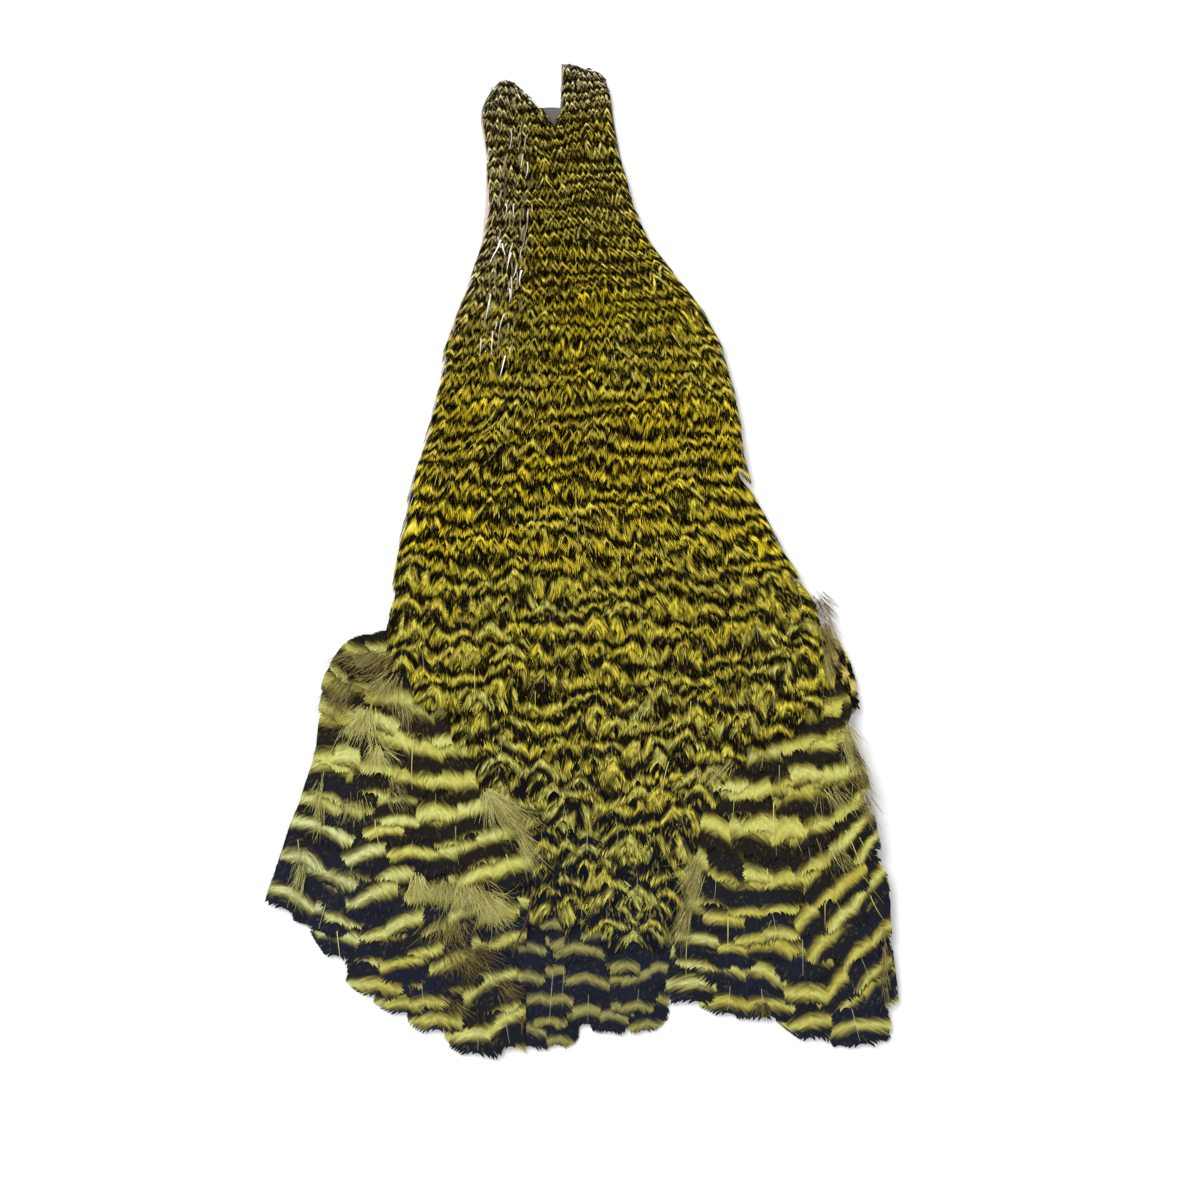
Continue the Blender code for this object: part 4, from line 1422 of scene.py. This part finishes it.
RIGHT_LINES = (
    (778, 764, 774, 809, -1), (733, 797, 731, 822, 0), (822, 788, 844, 818, -2), (851, 806, 858, 821, 0),
    (802, 669, 784, 689, 1), (731, 811, 731, 834, 0), (772, 800, 772, 830, 0), (790, 828, 800, 850, 0),
    (704, 874, 696, 899, 0), (690, 910, 686, 978, 2), (727, 916, 727, 950, 0), (770, 918, 762, 945, 1),
    (766, 866, 766, 882, 0), (775, 930, 771, 945, 0), (823, 900, 823, 922, 0), (843, 828, 861, 876, -2),
    (857, 835, 869, 858, 0), (862, 875, 882, 902, 0), (868, 893, 882, 918, 1),
)
RIM_LINES = ((533, 884, 521, 930, -3), (524, 926, 513, 955, 1), (523, 1014, 522, 1034, 0))
COAT_TUFTS = (
    Tuft((818, 602), (8, 12), 40, 70, fan=14, length=4.0, tone=0.2, curl=0.05),
    Tuft((824, 622), (5, 14), 30, 60, fan=14, length=4.0, tone=0.45, curl=0.05),
)
COAT_LINES = (
    (440, 470, 436, 486, 0), (563, 395, 561, 410, 0), (536, 508, 534, 532, 0), (548, 500, 546, 530, 0),
    (576, 490, 580, 560, 1), (583, 520, 587, 548, 0), (620, 556, 619, 580, 0), (640, 610, 641, 636, 0),
    (476, 668, 476, 702, 0), (536, 690, 536, 708, 0), (618, 825, 617, 850, 0), (668, 760, 662, 790, 1),
    (637, 740, 640, 762, 0), (690, 700, 688, 722, 0), (655, 680, 650, 700, 0),
)


@dataclass(frozen=True)
class NeckShafts:
    """Bare pale shafts at the left of the neck, with a painted highlight, which lean to either side in turn."""

    count: int = 95
    seed: int = 41

    def lines(self) -> tuple[tuple[float, ...], ...]:
        """Where the shafts start and end, in pixels, and how far they bow."""
        pick = np.random.default_rng(self.seed)
        rows = []
        for number in range(self.count):
            down = 118 + 260 * pick.beta(1.5, 1.6)
            share = pick.uniform(0.05, 0.42) + (0.1 if down > 240 else 0.0)
            left = np.interp(down, [100, 200, 260, 300, 380], [490, 492, 480, 470, 456])
            across = left + share * 100
            long = pick.uniform(7, 17) * (1.5 if number % 6 == 0 else 1.0)
            lean = pick.normal(-0.12, 0.12)
            dim = 0.95 * math.sqrt(pick.random()) * (number % 6 > 0)
            rows.append((across, down, across + lean * long, down + long, pick.normal(0, 0.9), dim))
        return tuple(rows)


@dataclass
class Hide:
    """The tanned skin: a thin closed sheet with two flaps and a notch at its neck end."""

    form: CapeForm
    finish: bpy.types.Material
    under_finish: bpy.types.Material
    columns: int = 110
    rows: int = 150
    thickness: float = 0.8
    edges: tuple = (
        (101.0, -20.2, 3.5), (93.0, -20.5, 5.1), (88.5, -21.0, 5.7), (81.3, -19.8, 7.0), (71.7, -20.0, 9.6),
        (64.5, -20.8, 12.0), (57.3, -22.2, 16.7), (50.1, -24.4, 22.2), (42.9, -27.0, 25.8), (32.1, -28.6, 28.4),
        (14.1, -33.8, 31.4), (3.3, -36.0, 36.9), (-7.5, -37.1, 42.4), (-14.7, -37.7, 45.0),
        (-22.0, -43.0, 47.6), (-34.0, -45.0, 48.0), (-57.0, -45.0, 48.5), (-66.0, -40.0, 49.5),
        (-80.0, -26.0, 48.5),
    )
    lower_edge: tuple = (
        (-47.0, -60.0), (-42.0, -65.0), (-33.0, -70.5), (-12.0, -73.5), (5.0, -77.0), (20.0, -71.0),
        (51.5, -71.0),
    )

    def build(self, neck_end: tuple) -> bpy.types.Object:
        """Builds the sheet from its top and underside grids and closes it round the edge.

        Args:
            neck_end: the neck end's outline, as pairs of a share of the width and a place along the neck.

        Returns:
            The piece.
        """
        stops = np.unique(np.concatenate([np.linspace(0, 1, self.columns), [row[0] for row in neck_end]]))
        share, run = np.meshgrid(stops, np.linspace(0, 1, self.rows), indexing="ij")
        top = read_table(neck_end, share) + 0.12 * Wobble(3.0, 34).at(share * 24, share)
        low = np.full(share.shape, -72.0)
        for _ in range(8):
            low = 0.5 * low + 0.5 * read_table(self.lower_edge, place_between(self.edges, share, low))
        y = top + (low - top) * run
        x = place_between(self.edges, share, y)
        rough = Wobble(5.0, 31).at(x, y) * 0.06 + Wobble(1.8, 32).at(x, y) * 0.03
        rim = np.minimum(np.minimum(share, 1 - share) * 40, np.minimum(run, 1 - run) * 120)
        thin = np.clip(rim / 1.2, 0, 1)
        height = 0.25 + (self.thickness - 0.35 + rough) * np.sqrt(thin)
        under = np.clip(0.05 + 0.05 * Wobble(7.0, 33).at(x, y), 0.0, 0.2) * thin
        upper = np.stack([x, y, height], axis=2).reshape(-1, 3)
        lower = np.stack([x, y, under], axis=2).reshape(-1, 3)
        mesh = bpy.data.meshes.new("hide_skin")
        faces, kinds = self._faces(share.shape)
        mesh.from_pydata((np.concatenate([upper, lower]) * MM).tolist(), [], faces)
        mesh.materials.append(self.finish)
        mesh.materials.append(self.under_finish)
        mesh.polygons.foreach_set("material_index", kinds)
        mesh.polygons.foreach_set("use_smooth", [True] * len(faces))
        blush = ease(0.09, 0.02, share) * ease(92.0, 86.0, y) * ease(20.0, 50.0, y)
        store_numbers(mesh, "tint", np.tile(blush.ravel(), 2))
        mesh.update()
        return settle(add_object("hide_skin", mesh), ("hide",))

    @staticmethod
    def _faces(shape: tuple[int, int]) -> tuple[list[tuple[int, ...]], list[int]]:
        """The faces of the closed sheet, and 0 for each above or at the side and 1 for each below."""
        columns, rows = shape
        number = np.arange(columns * rows).reshape(shape)
        corners = (number[:-1, :-1], number[1:, :-1], number[1:, 1:], number[:-1, 1:])
        first, second, third, fourth = (part.ravel() for part in corners)
        under = columns * rows
        above = [tuple(row) for row in np.stack([first, fourth, third, second], axis=1).tolist()]
        below = [tuple(row) for row in (np.stack([first, second, third, fourth], axis=1) + under).tolist()]
        loop = np.concatenate([number[:, 0], number[-1, 1:], number[-2::-1, -1], number[0, -2:0:-1]])
        following = np.roll(loop, -1)
        side = np.stack([loop, following, following + under, loop + under], axis=1).tolist()
        faces = above + below + [tuple(row) for row in side]
        return faces, [0] * len(above) + [1] * len(below) + [0] * len(side)


@dataclass(frozen=True)
class Studio:
    """The pale floor, the soft light and the camera straight above."""

    floor_side: float = 4.0
    floor_drop: float = 0.0002
    floor_colour: Colour = (0.93, 0.93, 0.93)
    focal_length: float = 85.0
    sensor: float = 36.0
    world_strength: float = 0.85
    key_energy: float = 7.0
    key_size: float = 0.5
    key_place: tuple[float, float, float] = (-0.35, 0.45, 0.8)

    def build(self) -> None:
        """Makes the floor, the lights and the camera."""
        self._floor()
        self._lights()
        self._camera()

    def _floor(self) -> None:
        """A plain pale plane just under the cape."""
        half = self.floor_side / 2
        mesh = bpy.data.meshes.new("floor")
        corners = [(x * half, y * half, -self.floor_drop) for x, y in ((-1, -1), (1, -1), (1, 1), (-1, 1))]
        mesh.from_pydata(corners, [], [(0, 1, 2, 3)])
        finish = ShaderMaker("pale floor", 0.9, 0.1)
        finish.shader.inputs["Base Color"].default_value = (*self.floor_colour, 1.0)
        mesh.materials.append(finish.material)
        add_object("floor", mesh)

    def _lights(self) -> None:
        """An even white world and one large soft light, above and towards the neck."""
        world = bpy.data.worlds.new("studio")
        world.use_nodes = True
        world.node_tree.nodes["Background"].inputs["Color"].default_value = (1.0, 1.0, 1.0, 1.0)
        world.node_tree.nodes["Background"].inputs["Strength"].default_value = self.world_strength
        bpy.context.scene.world = world
        light = bpy.data.lights.new("soft light", "AREA")
        light.energy, light.size = self.key_energy, self.key_size
        lamp = add_object("soft light", light)
        lamp.location = self.key_place
        lamp.rotation_euler = (-lamp.location).to_track_quat("-Z", "Y").to_euler()
        bpy.context.scene.view_settings.view_transform = "Standard"

    def _camera(self) -> None:
        """A camera straight above the middle of the photograph, as far off as its width asks."""
        lens = bpy.data.cameras.new("camera")
        lens.lens, lens.sensor_width = self.focal_length, self.sensor
        middle = from_pixel(PHOTO_SIDE / 2, PHOTO_SIDE / 2)
        away = PHOTO_SIDE * MM_PER_PIXEL * self.focal_length / self.sensor
        camera = add_object("camera", lens)
        camera.location = Vector((middle[0], middle[1], away)) * MM
        bpy.context.scene.camera = camera


PATCH_SURFACE = (
    (0.2, 1.2), (0.35, 3.0), (0.45, 4.5), (0.55, 5.2), (0.62, 5.1), (0.8, 3.9), (0.9, 2.5), (1.0, 0.6),
)


def shoulder_patches(form: CapeForm, finish: bpy.types.Material) -> tuple[FeatherFan, FeatherFan, FeatherFan]:
    """The hem, the left patch and the right patch.

    Args:
        form: the cape's form.
        finish: the finish of large feathers.

    Returns:
        The three fans of feathers.
    """
    hem = FeatherFan(
        name="hem_feathers",
        slot=Slot.HEM,
        nodes="hem_feather",
        finish=finish,
        form=form,
        apex=(5.1, 60.0),
        reach=(
            (-6, 160.5), (-4.5, 160.4), (-3, 156.5), (-1.2, 153.2), (0.3, 156.5), (1.8, 158.3), (3.2, 153.5),
            (4.5, 150.8),
        ),
        spans=((0.8, -8.6, 6.2), (0.95, -8.2, 5.6), (1.0, -7.6, 5.2)),
        length=0.19,
        widths=((0.8, 8.0), (1.0, 8.6)),
        surface=((0.7, 3.4), (0.85, 2.6), (0.95, 1.4), (1.0, 0.5)),
        period=5.8,
        seed=23,
        jitter=0.3,
        own_rows=9,
        row_step=0.045,
        first_row=0.8,
        pale=0.5,
        blue=1.0,
        chevron=0.3,
    )
    left = FeatherFan(
        name="left_shoulder_feathers",
        slot=Slot.LEFT,
        nodes="left_shoulder_feather",
        finish=finish,
        form=form,
        apex=(-29.5, 12.9),
        reach=(
            (-30, 86), (-20, 89), (-17, 88.5), (-14, 93.5), (-11, 97.8), (-5, 103.4), (1, 109.2), (6, 115.6),
            (10, 114), (16, 102),
        ),
        spans=(
            (0.4, -31, 15), (0.62, -28, 15), (0.715, -26, 15.5), (0.81, -24.5, 14), (0.905, -24, 12),
            (1, -24, 10.2),
        ),
        length=0.36,
        widths=((0.4, 7.5), (0.7, 10.5), (1.0, 13.0)),
        surface=PATCH_SURFACE,
        period=7.4,
        seed=21,
        first_row=0.4,
        shelf=-16.5,
        pale=0.85,
        start_phase=0.1,
        lean=(4.0, 0.8),
        columns=((-30.0, 0.0, 0.0), (-13.0, 0.4, 0.09), (-2.5, -0.15, 0.05)),
        corner=(
            (352, 656, -62, 10, 6), (370, 650, -60, 9, 5), (334, 672, -50, 12, 7), (325, 692, -40, 13, 7),
            (350, 672, -42, 12, 7), (328, 716, -28, 14, 8),
        ),
        edges=(
            (0.4, -33.0, 22.0), (0.48, -32.3, 20.0), (0.59, -27.4, 18.0), (0.63, -25.5, 17.0),
            (0.755, -24.2, 14.0), (0.8, -24.2, 11.5), (0.93, -23.3, 9.4), (1.0, -23.3, 8.7),
        ),
        paler_side=(0.5, -16.0, 14.0),
    )
    right = FeatherFan(
        name="right_shoulder_feathers",
        slot=Slot.RIGHT,
        nodes="right_shoulder_feather",
        finish=finish,
        form=form,
        apex=(33.9, 0.9),
        reach=(
            (-9, 92.3), (-7, 90), (-3, 92.8), (1, 93.2), (3, 92), (7, 99), (10, 98.2), (14, 102.8), (17, 99),
            (23, 89), (30, 84),
        ),
        spans=(
            (0.3, -13, 45), (0.45, -13, 37), (0.55, -12.5, 31), (0.62, -12, 28), (0.715, -12, 26),
            (0.81, -12, 24), (0.905, -11.5, 21.5), (1.0, -11.8, 18),
        ),
        length=0.38,
        widths=((0.4, 7.5), (0.7, 10.5), (1.0, 13.0)),
        surface=PATCH_SURFACE,
        period=7.0,
        seed=22,
        first_row=0.3,
        shelf=-22.0,
        pale=0.6,
        lean=(9.0, 1.2),
        columns=((-14.0, 0.0, -0.04), (-3.0, -0.3, -0.035), (8.5, -0.75, 0.12)),
        edges=(
            (0.3, -14.0, 42.0), (0.36, -14.0, 38.0), (0.425, -14.0, 31.6), (0.445, -14.0, 27.9),
            (0.545, -12.5, 27.4), (0.63, -10.9, 25.3), (0.685, -11.5, 23.6), (0.77, -12.3, 22.8),
            (0.82, -12.3, 20.7), (0.874, -12.1, 19.3), (0.93, -12.0, 18.4), (1.0, -11.6, 17.2),
        ),
        paler_side=(0.25, -8.0, 4.0),
    )
    return hem, left, right


def add_strands(form: CapeForm, left: FeatherFan, right: FeatherFan) -> None:
    """Builds the down, the shafts and the rim of skin, which lie over the coat and the patches.

    Args:
        form: the coat's form.
        left: the left shoulder patch.
        right: the right shoulder patch.
    """
    left_nodes, right_nodes = nodes_named("left_shoulder_feather"), nodes_named("right_shoulder_feather")
    down = StrandFinish("down", (0.03, 0.02, 0.008), (0.22, 0.165, 0.05), (0.52, 0.50, 0.16)).material()
    downs = (
        Strands("left_down", down, Slot.LEFT, left_nodes, left.height_at)
        .add_tufts(LEFT_TUFTS, 300)
        .add_lines(LEFT_LINES, 0.17, 1.0),
        Strands("right_down", down, Slot.RIGHT, right_nodes, right.height_at)
        .add_tufts(RIGHT_TUFTS, 400)
        .add_lines(RIGHT_LINES, 0.17, 1.0),
        Strands("coat_shafts", down, Slot.HACKLES, ("hide",), form.height_at)
        .add_tufts(COAT_TUFTS, 600)
        .add_lines(COAT_LINES, 0.16, 0.85),
    )
    for strands in downs:
        strands.build()
    # Near white at their light end: the shafts' own pale colour with a painted highlight.
    white = StrandFinish("pale shafts with painted highlight", (0.10, 0.08, 0.035), (0.30, 0.25, 0.14), (0.95, 0.92, 0.88)).material()
    shafts = Strands("neck_shafts", white, Slot.HACKLES, ("hide",), form.height_at, base=0.35)
    shafts.add_lines(NeckShafts().lines(), 0.3, 1.0).build()
    red = StrandFinish("skin edge", (0.03, 0.012, 0.008), (0.10, 0.04, 0.022), (0.32, 0.15, 0.08)).material()
    rim = Strands("skin_edge", red, Slot.LEFT, left_nodes, left.height_at, base=0.5)
    rim.add_lines(RIM_LINES, 0.55, 0.5).build()


def main() -> None:
    """Builds the cape's pieces in order and reports each."""
    logging.basicConfig(level=logging.INFO, format="%(name)s %(message)s")
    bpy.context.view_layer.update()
    Studio().build()
    form = CapeForm()
    hackles = BarredFinish("barred hackles")
    neck = replace(
        hackles,
        name="barred neck hackles",
        gold=(0.95, 0.74, 0.045),
        pale=(0.78, 0.76, 0.28),
        grey=(0.98, 0.90, 0.60),
        softness=0.14,
        dark_share=0.73,
        raggedness=0.3,
        streakiness=0.6,
        streak_scale=3.0,
    )
    saddle = replace(
        hackles,
        name="barred saddle hackles",
        gold=(0.55, 0.45, 0.035),
        pale=(0.38, 0.40, 0.12),
        grey=(0.45, 0.40, 0.24),
        softness=0.36,
        raggedness=0.45,
        streakiness=0.78,
    )
    coat = HackleCoat(form, tuple(finish.material() for finish in (neck, hackles, saddle)))
    skin = HideFinish("tanned skin", (0.15, 0.145, 0.13), (0.10, 0.095, 0.085)).material()
    under = HideFinish("skin underside", (0.62, 0.54, 0.42), (0.44, 0.35, 0.24)).material()
    Hide(form, skin, under).build(coat.neck_end)
    coat.build()
    vanes = BarredFinish(
        "barred shoulder feathers",
        gold=(0.42, 0.34, 0.032),
        pale=(0.52, 0.54, 0.155),
        grey=(0.54, 0.62, 0.39),
        brown_black=(0.010, 0.008, 0.006),
        blue_black=(0.009, 0.011, 0.021),
        softness=0.32,
        dark_share=0.61,
        blue_growth=0.09,
        raggedness=0.22,
        streakiness=0.22,
    )
    hem, left, right = shoulder_patches(form, vanes.material())
    dull = replace(vanes, name="barred hem feathers", gold=(0.29, 0.25, 0.05), pale=(0.31, 0.32, 0.14))
    hem.finish = dull.material()
    for patch in (hem, left, right):
        patch.build()
    bright = BarredFinish("edge feather", gold=(0.62, 0.42, 0.08), softness=0.25, streakiness=0.25)
    EdgeFeather(bright.material()).build()
    add_strands(form, left, right)


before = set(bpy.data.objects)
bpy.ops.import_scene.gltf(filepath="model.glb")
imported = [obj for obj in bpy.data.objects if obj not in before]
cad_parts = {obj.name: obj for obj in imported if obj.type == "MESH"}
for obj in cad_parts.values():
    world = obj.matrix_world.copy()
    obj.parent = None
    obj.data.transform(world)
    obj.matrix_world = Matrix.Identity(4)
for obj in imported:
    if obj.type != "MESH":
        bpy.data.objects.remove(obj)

if __name__ == "__main__":
    main()
